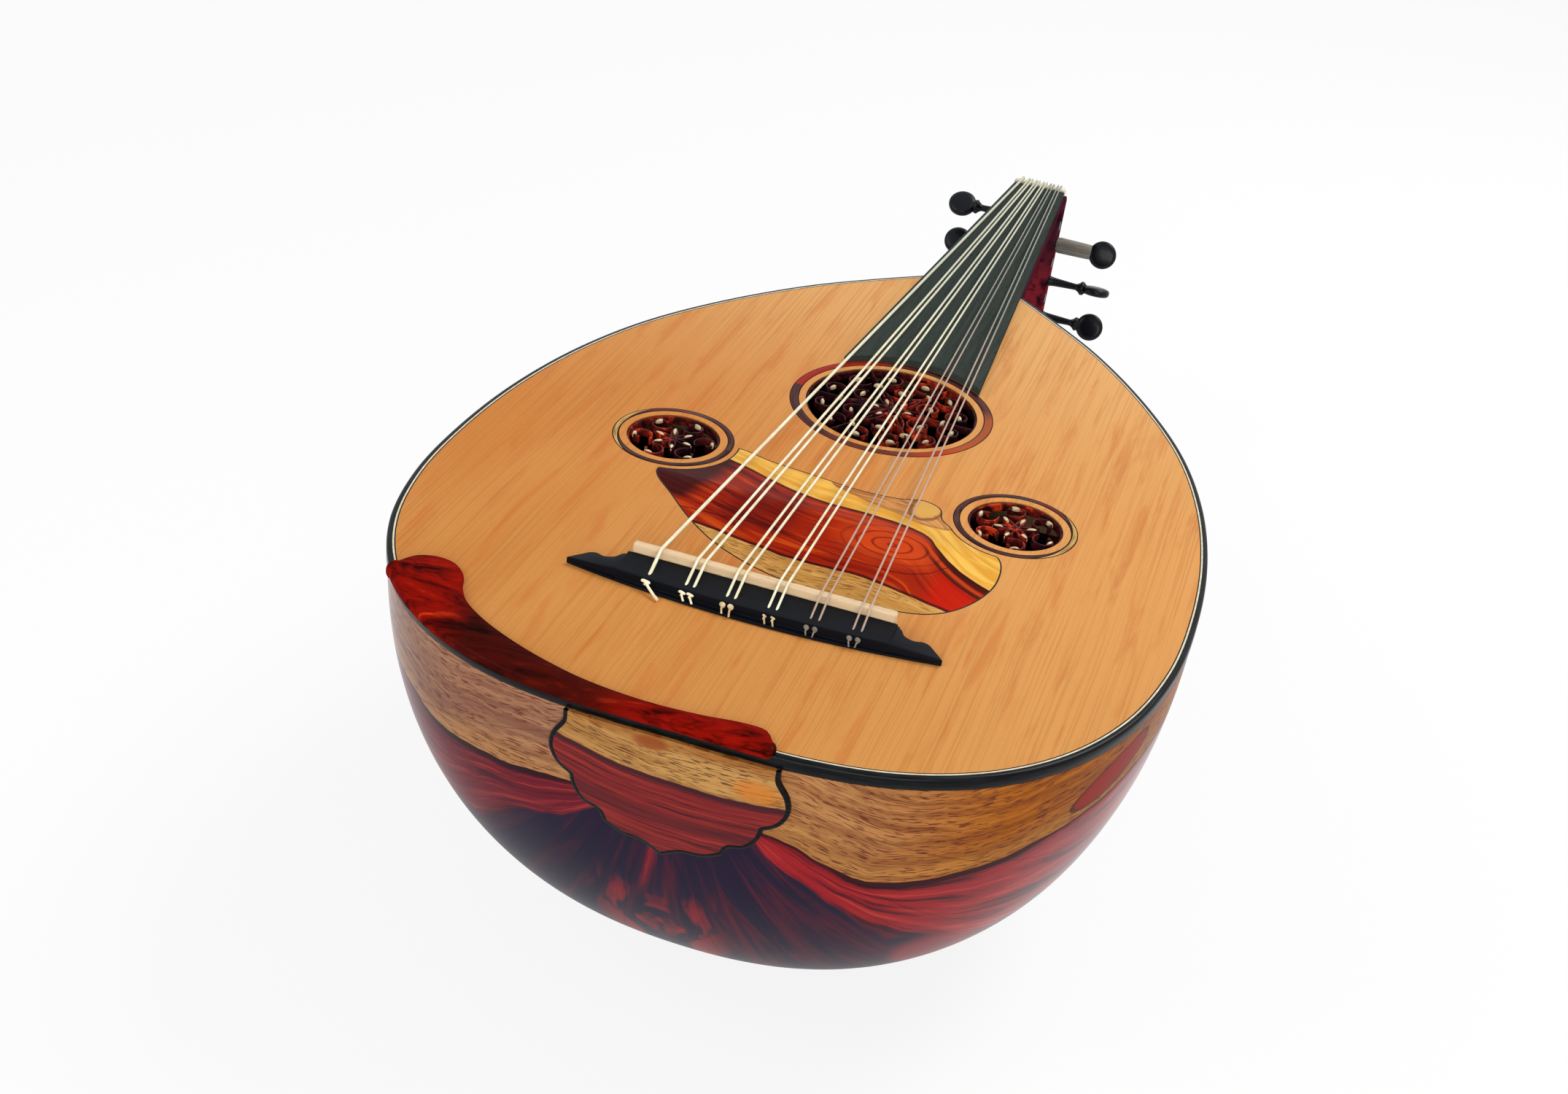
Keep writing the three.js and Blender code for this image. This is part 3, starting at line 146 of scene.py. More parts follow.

# Shares of the sizes that they follow

BODY_OUTLINE_SHARES = [
    (0, 0), (0.3, 0.002), (0.5, 0.018), (0.68, 0.053), (0.82, 0.104), (0.925, 0.175),
    (0.985, 0.265), (1, 0.365), (0.982, 0.475), (0.925, 0.585), (0.825, 0.69), (0.67, 0.792),
    (0.475, 0.888), (0.3, 0.953),
]
GUARD_OUTLINE_SHARES = [
    (-0.91, 0.62), (-0.74, 0.44), (-0.55, 0.27), (-0.37, 0.15), (-0.14, 0.055), (0.1, 0.005),
    (0.38, 0), (0.62, 0.01), (0.76, 0.045), (0.87, 0.12), (0.97, 0.27), (1.01, 0.44),
    (0.97, 0.62), (0.84, 0.7), (0.7, 0.76), (0.6, 0.83), (0.56, 0.92), (0.46, 0.955),
    (0.33, 0.915), (0.1, 0.9), (-0.14, 0.925), (-0.4, 0.95), (-0.6, 0.99), (-0.75, 0.95),
    (-0.85, 0.76),
]
ARM_GUARD_INNER_SHARES = [
    (0.215, 0.012), (0.19, 0.024), (0.14, 0.0255), (0.04, 0.02), (-0.09, 0.0175),
    (-0.23, 0.0225), (-0.34, 0.033), (-0.44, 0.047), (-0.53, 0.064), (-0.595, 0.082),
    (-0.63, 0.1), (-0.652, 0.118), (-0.69, 0.131), (-0.74, 0.134), (-0.785, 0.127), (-0.81, 0.112),
]
ARM_GUARD_END_SHARES = (0.205, -0.805)
SEED_WIDTH_SHARE = 0.42
CAP_OUTLINE_SHARES = [
    (0.89, 0), (0.895, 0.09), (0.985, 0.225), (1, 0.345), (0.935, 0.45), (0.81, 0.52), (0.78, 0.62),
    (0.685, 0.72), (0.55, 0.76), (0.495, 0.845), (0.355, 0.905), (0.165, 0.925), (0, 1),
]
CAP_CUSPS = [0, 5, 9, 12]
BRIDGE_END_SHARES = [
    (0, 0.66), (0.08, 0.64), (0.2, 0.42), (0.38, 0.36), (0.54, 0.44), (0.66, 0.42), (0.8, 0.26), (1, 0),
]
PEG_FACE_SHARES = [
    (-1, 0.05), (-0.98, 0.35), (-0.93, 0.62), (-0.85, 0.78), (-0.68, 0.91), (-0.38, 0.985), (0, 1),
]
PEG_TURN_SHARES = [0.15, 0.95, 0.11, 0.205, 0.05, 0.445, 0.27, 0.08, 0.2, 0.02, 0.16]

# Each rose's own fretwork. Lengths are shares of its hole's radius, apart from bars and seeds. A tier
# of scrolls has its count, its turn as a share of a step, its place, its size, and its seeds' place.

FRETWORK = {
    "main": Sizes(bar=0.95, heart_share=0.06, petal_shares=(0.26, 0.5), seed_share=0.2, seed=5,
                  tiers=[(6, 0.5, 0.46, 0.16, 0.02), (12, 0.5, 0.78, 0.155, 0.02)]),
    "small": Sizes(bar=0.9, heart_share=0.1, petal_shares=(0.46,), seed_share=0.36, seed=5.4,
                   tiers=[(6, 0.45, 0.7, 0.26, 0.14)]),
}

# Each string's knot: half its width, how far its loose end reaches across and down, and its radius

KNOTS = [
    (2.2, 8.5, 6, 0.78), (1.7, 1.6, 1.2, 0.62), (1.7, 2, 1.6, 0.62), (1.3, 0.6, 0.8, 1.25),
    (1.3, 0.5, 2, 1.25), (0.9, 0.9, 1, 0.5), (1.1, 1, 1.4, 0.5), (1.15, 0.5, 0.4, 1.1),
    (1.15, -0.4, 0.7, 1.1), (1.15, 0.8, 0.8, 1.1), (1.15, -0.6, 0.4, 1.1),
]

# Profiles as (outwards, up) pairs

BINDING_PROFILE = [
    (0.38, -5.3), (0.1, -5.7), (-1, -5.7), (-1, -2.2), (-2.2, -2.2), (-2.2, -0.08), (-2.1, 0.02),
    (-1.1, 0.02), (-0.45, -0.1), (0.02, -0.4), (0.3, -0.85), (0.4, -1.5),
]
CAP_EDGE_PROFILE = [(-0.95, 0.2), (1.05, 0.2), (1.05, 1.9), (0.6, 2.25), (-0.5, 2.25), (-0.95, 1.9)]

# The arm guard's rounded edges, as (share of the rounding's width, up), and its lip, as (inwards, up)

ARM_GUARD_INNER_ROUND_SHARES = [(0, SEAM), (0.05, 1.2), (0.35, 2.1), (1, 2.7)]
ARM_GUARD_OUTER_ROUND_SHARES = [(1.1, 2.75), (0.45, 2.2), (0.1, 1.2), (0, 0), (0, -1.3)]
ARM_GUARD_LIP = [(-0.1, ARM_GUARD.lip_bottom), (0, -1.6), (0, SEAM)]

# The CAD frame's place: its own origin is under the middle of the oud, where it rests.
ORIGIN = np.array([
    0,
    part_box("saddle")[0].y - SADDLE_PLACE / 1000,
    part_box("pickguard")[1].z,
])


# Curves and outlines

def unit(vectors):
    return vectors / np.linalg.norm(vectors, axis=-1, keepdims=True)


def left_of(ahead):
    return np.column_stack([-ahead[:, 1], ahead[:, 0]])


def smooth_curve(points, steps=8):
    """A centripetal Catmull-Rom curve through points."""
    p = np.array(points, float)
    p = np.vstack([2 * p[0] - p[1], p, 2 * p[-1] - p[-2]])
    t = np.linspace(0, 1, steps, endpoint=False)[:, None]
    parts = []
    for i in range(1, len(p) - 2):
        a, b, c, d = p[i - 1:i + 3]
        ab, bc, cd = (sqrt(np.linalg.norm(v)) for v in (b - a, c - b, d - c))
        start = ((b - a) / ab - (c - a) / (ab + bc) + (c - b) / bc) * bc
        end = ((c - b) / bc - (d - b) / (bc + cd) + (d - c) / cd) * bc
        cubic = 2 * (b - c) + start + end
        parts.append(b + start * t + (c - b - start - cubic) * t**2 + cubic * t**3)
    return np.vstack([*parts, p[-2:-1]])


def closed_curve(points, steps):
    around = smooth_curve([points[-1], *points, *points[:2]], steps)
    return around[steps:-steps - 1]


def evenly(points, count):
    """count points spaced evenly along a line through points."""
    p = np.asarray(points, float)
    lengths = np.r_[0, np.cumsum(np.linalg.norm(np.diff(p, axis=0), axis=1))]
    places = np.linspace(0, lengths[-1], count)
    return np.column_stack([np.interp(places, lengths, column) for column in p.T])


def arc(x, y, radii, start, end, count, endpoint=True):
    """Points round a middle, with one radius or one at each point."""
    angles = np.linspace(start, end, count, endpoint=endpoint)
    return np.column_stack([x + radii * np.cos(angles), y + radii * np.sin(angles)])


def circle(x, y, radius, count=96):
    return arc(x, y, radius, 0, 2 * pi, count, endpoint=False)


def rounded(low, high, rounding):
    """The points round a rectangle between two corners, with its own corners rounded."""
    left, bottom = np.add(low, rounding)
    right, top = np.subtract(high, rounding)
    middles = [(right, top), (left, top), (left, bottom), (right, bottom)]
    quarter = pi / 2
    return np.vstack([
        arc(*middle, rounding, n * quarter, (n + 1) * quarter, 4) for n, middle in enumerate(middles)
    ])


def fingerboard_half(y):
    share = (NUT.place - y) / (NUT.place - MAIN_ROSE.y)
    taper = FINGERBOARD.half_at_rose - FINGERBOARD.half_at_nut
    return FINGERBOARD.half_at_nut + taper * share


def body_outline():
    """Dense points of the body's edge from the left of the neck joint round the tail."""
    right = [(x * BODY_HALF_WIDTH, y * BODY_LENGTH) for x, y in BODY_OUTLINE_SHARES]
    right.append((fingerboard_half(BODY_LENGTH), BODY_LENGTH))
    left = [(-x, y) for x, y in reversed(right[1:])]
    return evenly(smooth_curve([*left, *right], 60), 4001)


OUTLINE = body_outline()
OUTLINE_TANGENTS = unit(np.gradient(OUTLINE, axis=0))
HALF_RIM = float(np.linalg.norm(np.diff(OUTLINE, axis=0), axis=1).sum() / 2)


def rim(shares, offset=0.0):
    """Points of the edge: share 0 is the tail, 1 and -1 the neck joint, offset outwards."""
    places = (np.asarray(shares, float) + 1) / 2 * (len(OUTLINE) - 1)
    index = np.arange(len(OUTLINE))
    x, y, along_x, along_y = (
        np.interp(places, index, column) for column in (*OUTLINE.T, *OUTLINE_TANGENTS.T)
    )
    return np.column_stack([x + along_y * offset, np.minimum(y - along_x * offset, BODY_LENGTH)])


EDGE_ANGLE = pi / 2 - pi / (2 * RIB_COUNT)
SECTION_SHARE = 2 / BOWL_SECTION_POWER
DEPTH_PER_WIDTH = (BOWL_DEPTH + BACK_FLAT) / (BODY_HALF_WIDTH * sin(EDGE_ANGLE) ** SECTION_SHARE)


def bowl_points(shares, angles, inset):
    """A grid of the bowl's face: angle 0 is the right edge and half a turn the left."""
    edge = rim(shares, -inset)[:, None]
    cosine = np.cos(angles)[None]
    out = np.sign(cosine) * np.abs(cosine) ** SECTION_SHARE
    down = np.clip(np.sin(angles)[None], 0, 1) ** SECTION_SHARE
    free = DEPTH_PER_WIDTH * edge[..., 0] * down
    lowest = BOWL_DEPTH - inset
    near = np.clip(1 - np.abs(free - lowest) / BACK_BLEND, 0, 1)
    depth = np.minimum(free, lowest) - near**2 * BACK_BLEND / 4
    return np.stack([edge[..., 0] * out, edge[..., 1] + 0 * out, -(RIB_TOP + depth)], axis=2)


def bowl_face(places, offset):
    """Points of the bowl's face, offset outwards, at (x, z) places seen from the tail."""
    x, z = places.T
    edge = rim(np.linspace(0, 0.5, 400), offset)
    power = BOWL_SECTION_POWER
    depth = np.maximum(-z - RIB_TOP, 0) / DEPTH_PER_WIDTH
    width = (np.abs(x) ** power + depth**power) ** (1 / power)
    return np.column_stack([x, np.interp(width, edge[:, 0], edge[:, 1]), z])


# Parts of meshes: each is its points and its faces

def loft(rings, closed=False):
    """Rings of points, all of one count, joined in a row, with flat ends unless closed."""
    rings = np.asarray(rings, float)
    rows, count = rings.shape[:2]
    faces = []
    for row in range(rows if closed else rows - 1):
        here, there = row * count, (row + 1) % rows * count
        for i in range(count):
            j = (i + 1) % count
            faces.append((here + i, here + j, there + j, there + i))
    if not closed:
        faces.append(tuple(range(count))[::-1])
        faces.append(tuple((rows - 1) * count + i for i in range(count)))
    return rings.reshape(-1, 3), faces


def at_level(points, level):
    return np.column_stack([points, np.full(len(points), float(level))])


def at_x(place, points):
    return np.column_stack([np.full(len(points), float(place)), points])


def tube(path, radii, sides=10):
    """A round tube along path, with one radius or one at each point."""
    path = np.asarray(path, float)
    along = unit(np.gradient(path, axis=0))
    side = np.cross(along[0], (0, 0, 1) if abs(along[0][2]) < 0.9 else (1, 0, 0))
    flat = circle(0, 0, 1, sides)
    rings = []
    for point, direction, radius in zip(path, along, np.broadcast_to(radii, len(path))):
        side = unit(side - direction * side.dot(direction))
        rings.append(point + flat @ [side, np.cross(direction, side)] * radius)
    return loft(rings)


def turned(profile, sides=32):
    """A closed body turned about +X from (place, radius) pairs."""
    return loft([at_x(place, circle(0, 0, radius, sides)) for place, radius in profile])


def wise(loop, anticlockwise):
    area = np.sum(loop[:, 0] * np.roll(loop[:, 1], -1) - loop[:, 1] * np.roll(loop[:, 0], -1))
    return loop if (area > 0) == anticlockwise else loop[::-1]


def inset(loop, distance):
    """A loop moved to its left, which is into the plate that it bounds."""
    ahead = unit(np.roll(loop, -1, axis=0) - loop)
    along = unit(ahead + np.roll(ahead, 1, axis=0))
    stretch = np.clip((along * ahead).sum(axis=1), 0.6, 1)[:, None]
    return loop + left_of(along) * distance / stretch


def filled(loops, level):
    """A level face from an outer loop and its holes."""
    corners = [[Vector((x, y, 0)) for x, y in loop] for loop in loops]
    faces = [tuple(face) for face in tessellate_polygon(corners)]
    return at_level(np.vstack(loops), level), faces


def wall(loops_and_levels):
    """The wall that joins one loop to the next, level by level."""
    points, faces = loft([at_level(loop, level) for loop, level in loops_and_levels])
    return points, faces[:-2]


def plate(loops, bottom, top, rounding, steps=3):
    """A plate from an outer loop and its holes, with rounded edges on top."""
    loops = [wise(np.asarray(loop, float), i == 0) for i, loop in enumerate(loops)]
    turns = np.linspace(0, pi / 2, steps + 1)
    rounds = [(top - rounding * (1 - sin(a)), rounding * (1 - cos(a))) for a in turns]
    levels = [(bottom, 0), *rounds]
    parts = [wall([(inset(loop, push), level) for level, push in levels]) for loop in loops]
    for level, push in (levels[0], levels[-1]):
        parts.append(filled([inset(loop, push) for loop in loops], level))
    return joined(parts)


def joined(parts):
    """Several parts as one."""
    start, points, faces = 0, [], []
    for part_points, part_faces in parts:
        points.append(part_points)
        faces += [tuple(start + i for i in face) for face in part_faces]
        start += len(part_points)
    return np.vstack(points), faces


def strip(path, width, bottom, top, closed=False, soft_share=0.35):
    """A bar with rounded upper edges that follows a line in the plane."""
    path = np.asarray(path, float)
    ahead = np.gradient(path, axis=0)
    if closed:
        ahead = np.roll(path, -1, axis=0) - np.roll(path, 1, axis=0)
    half, soft = width / 2, width * soft_share
    section = [
        (-half, bottom), (half, bottom), (half, top - soft), (half - soft * 0.3, top - soft * 0.3),
        (half - soft, top), (soft - half, top), (soft * 0.3 - half, top - soft * 0.3),
        (-half, top - soft),
    ]
    return loft([
        [(*(point + side * out), level) for out, level in section]
        for point, side in zip(path, left_of(unit(ahead)))
    ], closed)


def seed(x, y, turn, length, bottom, top):
    """A small leaf with a domed top and pointed ends."""
    along, across = circle(0, 0, 1, 20).T
    across = np.sign(across) * np.abs(across) ** 1.4 * SEED_WIDTH_SHARE
    leaf = np.column_stack([along, across]) * length / 2
    leaf = leaf @ [(cos(turn), sin(turn)), (-sin(turn), cos(turn))]
    tier_shares = ((1, 0), (1, 0.45), (0.86, 0.75), (0.55, 0.95), (0.15, 1))
    return loft([
        at_level(leaf * share + (x, y), bottom + (top - bottom) * up) for share, up in tier_shares
    ])


def rim_sweep(profile):
    """A bar all along the body's edge, with a profile of (outwards, up) pairs."""
    shares = np.linspace(-1, 1, RIM_STEPS)
    return loft(np.stack([at_level(rim(shares, out), up) for out, up in profile], axis=1))


def softened_block(x, y, z, rounding):
    """A block between two places on each axis, with its long edges rounded, lying along X."""
    section = rounded(*zip(y, z), rounding)
    middle = section.mean(axis=0)
    rings = []
    for place, pull in ((x[0], 1), (x[0] + rounding, 0), (x[1] - rounding, 0), (x[1], 1)):
        shrink = 1 - pull * rounding / np.abs(section - middle).max(axis=0)
        rings.append(at_x(place, middle + (section - middle) * shrink))
    return loft(rings)


# Pieces

def put(name, data):
    made = bpy.data.objects.new(name, data)
    bpy.context.scene.collection.objects.link(made)
    return made


def piece(name, part, look, replaces=None, body="root", crease=38, level=False, values=None):
    """A piece of the oud from one part. level: its level faces are shaded flat."""
    points, faces = part
    data = bpy.data.meshes.new(name)
    data.from_pydata((points / 1000 + ORIGIN).tolist(), [], faces)
    for key, numbers in (values or {}).items():
        attribute = data.attributes.new(key, "FLOAT", "POINT")
        attribute.data.foreach_set("value", np.asarray(numbers, np.float32).ravel())
    mesh = bmesh.new()
    mesh.from_mesh(data)
    bmesh.ops.remove_doubles(mesh, verts=mesh.verts, dist=1e-7)
    bmesh.ops.recalc_face_normals(mesh, faces=mesh.faces)
    for face in mesh.faces:
        face.smooth = len(face.verts) <= 4 and not (level and abs(face.normal.z) > 0.9999)
    mesh.to_mesh(data)
    mesh.free()
    data.set_sharp_from_angle(angle=radians(crease))
    data.materials.append(LOOKS[look])
    made = put(name, data)
    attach(made, body)
    if replaces:
        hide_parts(replaces)


# Materials. Colours are what a screen shows, from 0 to 255.

def linear(value):
    value /= 255
    return value / 12.92 if value <= 0.04045 else ((value + 0.055) / 1.055) ** 2.4


def sum_node(operation, swapped=False):
    """A method of Value that does one sum, as a Math node."""
    def method(self, other=0):
        pair = (other, self) if swapped else (self, other)
        return self.look.node("Math", dict(enumerate(pair)), operation=operation)
    return method


class Value:
    """A number or a colour that changes over a surface. Sums with it are made as nodes."""

    def __init__(self, look, socket):
        self.look = look
        self.socket = socket

    __add__ = __radd__ = sum_node("ADD")
    __sub__ = sum_node("SUBTRACT")
    __rsub__ = sum_node("SUBTRACT", swapped=True)
    __mul__ = sum_node("MULTIPLY")
    __abs__ = sum_node("ABSOLUTE")
    divided = sum_node("DIVIDE")
    max = sum_node("MAXIMUM")
    sqrt = sum_node("SQRT")
    sign = sum_node("SIGN")
    sine = sum_node("SINE")
    cosine = sum_node("COSINE")
    arctan2 = sum_node("ARCTAN2")
    fract = sum_node("FRACT")

    def __neg__(self):
        return self * -1

    def __truediv__(self, other):
        return self.divided(other) if isinstance(other, Value) else self * (1 / other)

    def step(self, start, end):
        """0 up to start and 1 from end on, with a smooth change, or 1 to 0 where start is larger."""
        return self.look.node("MapRange", {"Value": self, "From Min": start, "From Max": end},
                              interpolation_type="SMOOTHSTEP")

    def band(self, middle, half, soft):
        """1 within half of middle, fading to 0 over soft."""
        return (abs(self - middle) - half).step(soft, 0)

    def curve(self, points):
        """A smooth line through (in, out) pairs, read at this value."""
        xs, ys = zip(*points)
        low, span = min(ys), max(ys) - min(ys)
        share = self.look.node("MapRange", {"Value": self, "From Min": xs[0], "From Max": xs[-1]})
        made = self.look.node("FloatCurve", {"Value": share})
        mapping = made.socket.node.mapping
        line = mapping.curves[0].points
        places = [((x - xs[0]) / (xs[-1] - xs[0]), (y - low) / span) for x, y in points]
        line[0].location, line[1].location = places[0], places[-1]
        for place in places[1:-1]:
            line.new(*place)
        mapping.update()
        return made * span + low


class Look:
    """The nodes of a material or of the world."""

    def __init__(self, owner):
        owner.use_nodes = True
        self.owner = owner
        self.tree = owner.node_tree
        self.tree.nodes.clear()

    def node(self, kind, values, output=0, **settings):
        node = self.tree.nodes.new("ShaderNode" + kind)
        for key, value in settings.items():
            setattr(node, key, value)
        for key, value in values.items():
            socket = node.inputs[key]
            if isinstance(value, Value):
                self.tree.links.new(value.socket, socket)
            elif socket.type == "RGBA":
                socket.default_value = (*map(linear, value), 1)
            else:
                socket.default_value = value
        return Value(self, node.outputs[output]) if node.outputs else None

    def place(self):
        """x, y and z of the surface in the part's own millimetres."""
        where = self.node("TexCoord", {}, "Object")
        moved = self.node("VectorMath", {0: where, 1: tuple(ORIGIN)}, operation="SUBTRACT")
        scaled = self.node("VectorMath", {0: moved, "Scale": 1000}, operation="SCALE")
        return [self.node("SeparateXYZ", {0: scaled}, axis) for axis in "XYZ"]

    def value(self, name):
        return self.node("Attribute", {}, "Fac", attribute_name=name)

    def finish(self, base, roughness, specular, height, depth, coat=0, coat_roughness=0.04, more=None):
        """The surface itself: depth is how deep in millimetres the height goes."""
        bump = self.node("Bump", {"Strength": 1, "Distance": depth / 1000, "Height": height})
        surface = self.node("BsdfPrincipled", {
            "Base Color": base, "Roughness": roughness, "Specular IOR Level": specular,
            "Coat Weight": coat, "Coat Roughness": coat_roughness, "Normal": bump, **(more or {}),
        })
        self.node("OutputMaterial", {"Surface": surface})
        return self.owner


def start_look(name):
    """A new material, and where its surface is."""
    look = Look(bpy.data.materials.new(name))
    return look, *look.place()


def mix(share, a, b):
    return share.look.node("Mix", {0: share, 6: a, 7: b}, 2, data_type="RGBA")


def noise(x, y, z=0, scale=1, detail=2, distortion=0, roughness=0.5):
    vector = x.look.node("CombineXYZ", {0: x, 1: y, 2: z})
    return x.look.node("TexNoise", {
        "Vector": vector, "Scale": scale, "Detail": detail, "Distortion": distortion,
        "Roughness": roughness,
    }, "Fac")


def painted(base, *layers):
    """base under (share, colour) layers."""
    for share, tint in layers:
        base = mix(share, base, tint)
    return base


def squares(a, b):
    """The square of the distance from a place, where a and b are 0."""
    return a * a + b * b


def axis_wood(name, light, dark, axis, width, length, contrast, pores, roughness, specular=0.5,
              coat=0, depth=0.03):
    """Wood with its grain along one axis: streaks of width by length, and fine pores."""
    look, x, y, z = start_look(name)
    u, v, along = {"x": (y, z, x), "y": (x, z, y)}[axis]
    broad = noise(u / width, v / width, along / length, detail=4, distortion=0.6, roughness=0.62)
    fine = noise(u * (5 / width), v * (5 / width), along * (4 / length), detail=3)
    tone = (broad - 0.5) * (2.2 * contrast) + fine * 0.35
    dots = noise(u * 2.2, v * 2.2, along * 0.18, detail=1).step(0.66, 0.74)
    base = mix(dots * 0.75, mix(tone + 0.3, dark, light), pores)
    return look.finish(base, roughness, specular, fine * 0.5 - dots, depth, coat)


def ebony(name, base, streak, axis="x", roughness=0.3, coat=0, specular=0.4):
    return axis_wood(name, streak, base, axis, 2.2, 50, 0.7, (8, 8, 9), roughness, specular, coat, 0.02)


def cedar():
    """The soundboard: straight fine growth lines along the strings, with soft warmer streaks, painted
    light across it and painted shade below its top.
    """
    look, x, y, z = start_look("cedar")
    across = x + noise(x * 0.01, y * 0.006) * 5
    lines = noise(across * 1.3, y * 0.006, detail=1.5)
    streak = noise(across * 0.12, y * 0.013, detail=4, distortion=0.4, roughness=0.6)
    patch = noise(x * 0.012, y * 0.004)
    silk = noise(x * 0.35, y * 1.1, detail=1)
    base = painted(
        # Painted light: the board is lighter to the right and towards the neck, and darker near the tail,
        # as the key lamp falls from the right and behind.
        mix(x.step(-170, 150), (206, 130, 58), (224, 158, 88)),
        (y.step(220, 500) * 0.7, (230, 178, 112)),
        (y.step(190, 20) * 0.4, (198, 134, 64)),
        (patch.step(0.42, 0.7) * 0.3, (226, 164, 92)),
        (streak.step(0.48, 0.72) * 0.46, (198, 104, 38)),
        (lines.step(0.46, 0.66) * 0.26, (166, 94, 40)),
        (silk.step(0.6, 0.75) * 0.12, (240, 186, 118)),
        # Painted shade: every face below the board's top, chiefly the walls of the roses' holes, is
        # darker.
        ((-z).step(0.1, 0.6) * 0.8, (92, 44, 22)),
    )
    return look.finish(base, 0.45, 0.08, lines, 0.01)


def pored_sapwood(grain, along, light, mid, pore):
    """Pale wood with short dark pores: grain runs across it and along with it."""
    tone = noise(grain * 0.2, along * 0.012, detail=4, distortion=0.6, roughness=0.6)
    dashes = noise(grain * 1.5, along * 0.14, detail=1, distortion=0.1)
    crowd = noise(grain * 0.09, along * 0.03)
    marks = dashes.step(0.54, 0.6) * crowd.step(0.3, 0.5)
    return mix(marks * 0.82, mix(tone.step(0.34, 0.66), mid, light), pore), marks


# The lower edges of the bowl's sapwood, by the distance from the tail, negative on the left, and of
# its red stripes, by the distance on either side. Both are measured down from the soundboard.

SAPWOOD_EDGE = [
    (-660, 7), (-480, 15), (-330, 23), (-229, 30), (-174, 41), (-141, 46), (-126, 50),
    (-108, 50), (-90, 48), (-72, 45), (-60, 43), (-50, 41.5), (-40, 40), (0, 36), (50, 39), (60, 42),
    (70, 46), (81, 51), (91, 55), (101, 57), (118, 56), (131, 53), (147, 49), (160, 44), (177, 40),
    (198, 36), (229, 30), (330, 23), (480, 15), (660, 7),
]
HEARTWOOD_EDGE = [
    (0, 12), (40, 34), (60, 49), (72, 57), (95, 71), (120, 87), (143, 99), (185, 112), (250, 130),
    (400, 126), (520, 100), (700, 50),
]


def heart_figure(x, y, below, far, angle, left, wave):
    """The bowl's dark heartwood: faint rays from the tail, a mirrored flame, a tongue and a glow."""
    rays = noise(angle * 0.17, far * 0.012, detail=5, distortion=1, roughness=0.6)
    mirrored = abs(x + 3)
    book = noise(mirrored * 0.075, (below + y * 0.4) * 0.021, detail=3, distortion=0.9)
    flame = book.step(0.48, 0.6) * (mirrored.step(38, 14) * below.step(80, 106))
    tongue = abs(x + 4 + (below - 62) * 0.16 + wave * 4).step(3.4, 0.4)
    tongue = tongue * (rays.step(0.4, 0.6) * 0.65 + 0.35) * below.step(104, 84)
    glow = (squares((x - 114) / 19, (below - 126) / 28) + wave).step(1.3, 0.5)
    return painted(
        (31, 23, 46),
        (rays.step(0.44, 0.74) * (left * -0.35 + 0.9), (86, 28, 42)),
        (flame.max(tongue) * 0.64, (166, 42, 40)),
        (glow * 0.6, (166, 52, 50)),
    )


def bowl_wood():
    """Sapwood under the rim, a fan of red stripes below it, and dark figured heartwood."""
    look, x, y, z = start_look("bowl_wood")
    far, angle = look.value("rim_distance"), look.value("rib_angle")
    along = far * x.sign()
    below = -z
    wave = noise(x * 0.03, y * 0.01, below * 0.02) - 0.5
    edge = along.curve(SAPWOOD_EDGE)
    deep = below - edge + wave * 7
    left = along.step(40, -60)
    right = along.step(70, 150)
    low = deep.step(-18, -3) * 0.42
    light, mid = (
        painted(middle, (left, at_left), (right, at_right), (low, at_edge))
        for middle, at_left, at_right, at_edge in (
            ((186, 132, 80), (170, 122, 90), (184, 106, 24), (200, 144, 70)),
            ((142, 90, 52), (130, 86, 66), (138, 70, 12), (176, 122, 62)),
        )
    )
    sap, marks = pored_sapwood(below - edge * 0.7 + wave * 7, along, light, mid, (96, 40, 30))

    heart_edge = far.curve(HEARTWOOD_EDGE) + along.band(-55, 15, 30) * 7
    share = deep / (heart_edge - edge)
    stripes = noise(share * 7, along * 0.013, detail=4, distortion=0.4, roughness=0.65)
    ember = mix(left, (150, 30, 36), (104, 22, 36))
    glare = mix(left, (190, 60, 52), (156, 50, 48))
    red = painted((66, 14, 26), (stripes.step(0.34, 0.52), ember), (stripes.step(0.52, 0.68), glare))
    dark = heart_figure(x, y, below, far, angle, left, wave)
    heart = mix((share + wave * 0.5).step(0.92, 1.06), red, dark)

    lens = squares((along - 205) / 26, (below - 24 + (along - 200) * 0.3) / 8.5)
    line_width = along.band(130, 26, 24) * 2.6 + 0.6 + along.band(-105, 34, 16) * 1.6
    line = deep.step(-0.4, 0.2) * (deep - line_width).step(1.6, 0)
    seam = (angle * (RIB_COUNT / 180) + 0.5).fract()
    base = painted(
        mix(deep.step(-0.3, 0.3), sap, heart),
        (lens.step(1, 0.9), mix(stripes, (96, 12, 10), (178, 40, 18))),
        (line * 0.92, (30, 8, 18)),
        (lens.band(1, 0.05, 0.1) * 0.8, (40, 10, 16)),
        (seam.band(0.5, 0.004, 0.012) * 0.35, (30, 10, 12)),
    )
    shine = abs(x).step(80, 178) * 0.5 * left.max(deep.step(-2, 8)) + 0.07
    return look.finish(base, 0.4, 0.05, marks, 0.004, coat=shine, coat_roughness=0.03)


CAP_SAPWOOD_EDGE = [
    (-52, 16.5), (-45, 19), (-36, 21), (-27, 23), (-17, 24.5), (-7, 25.5), (13, 26), (33, 25.5), (52, 24),
]


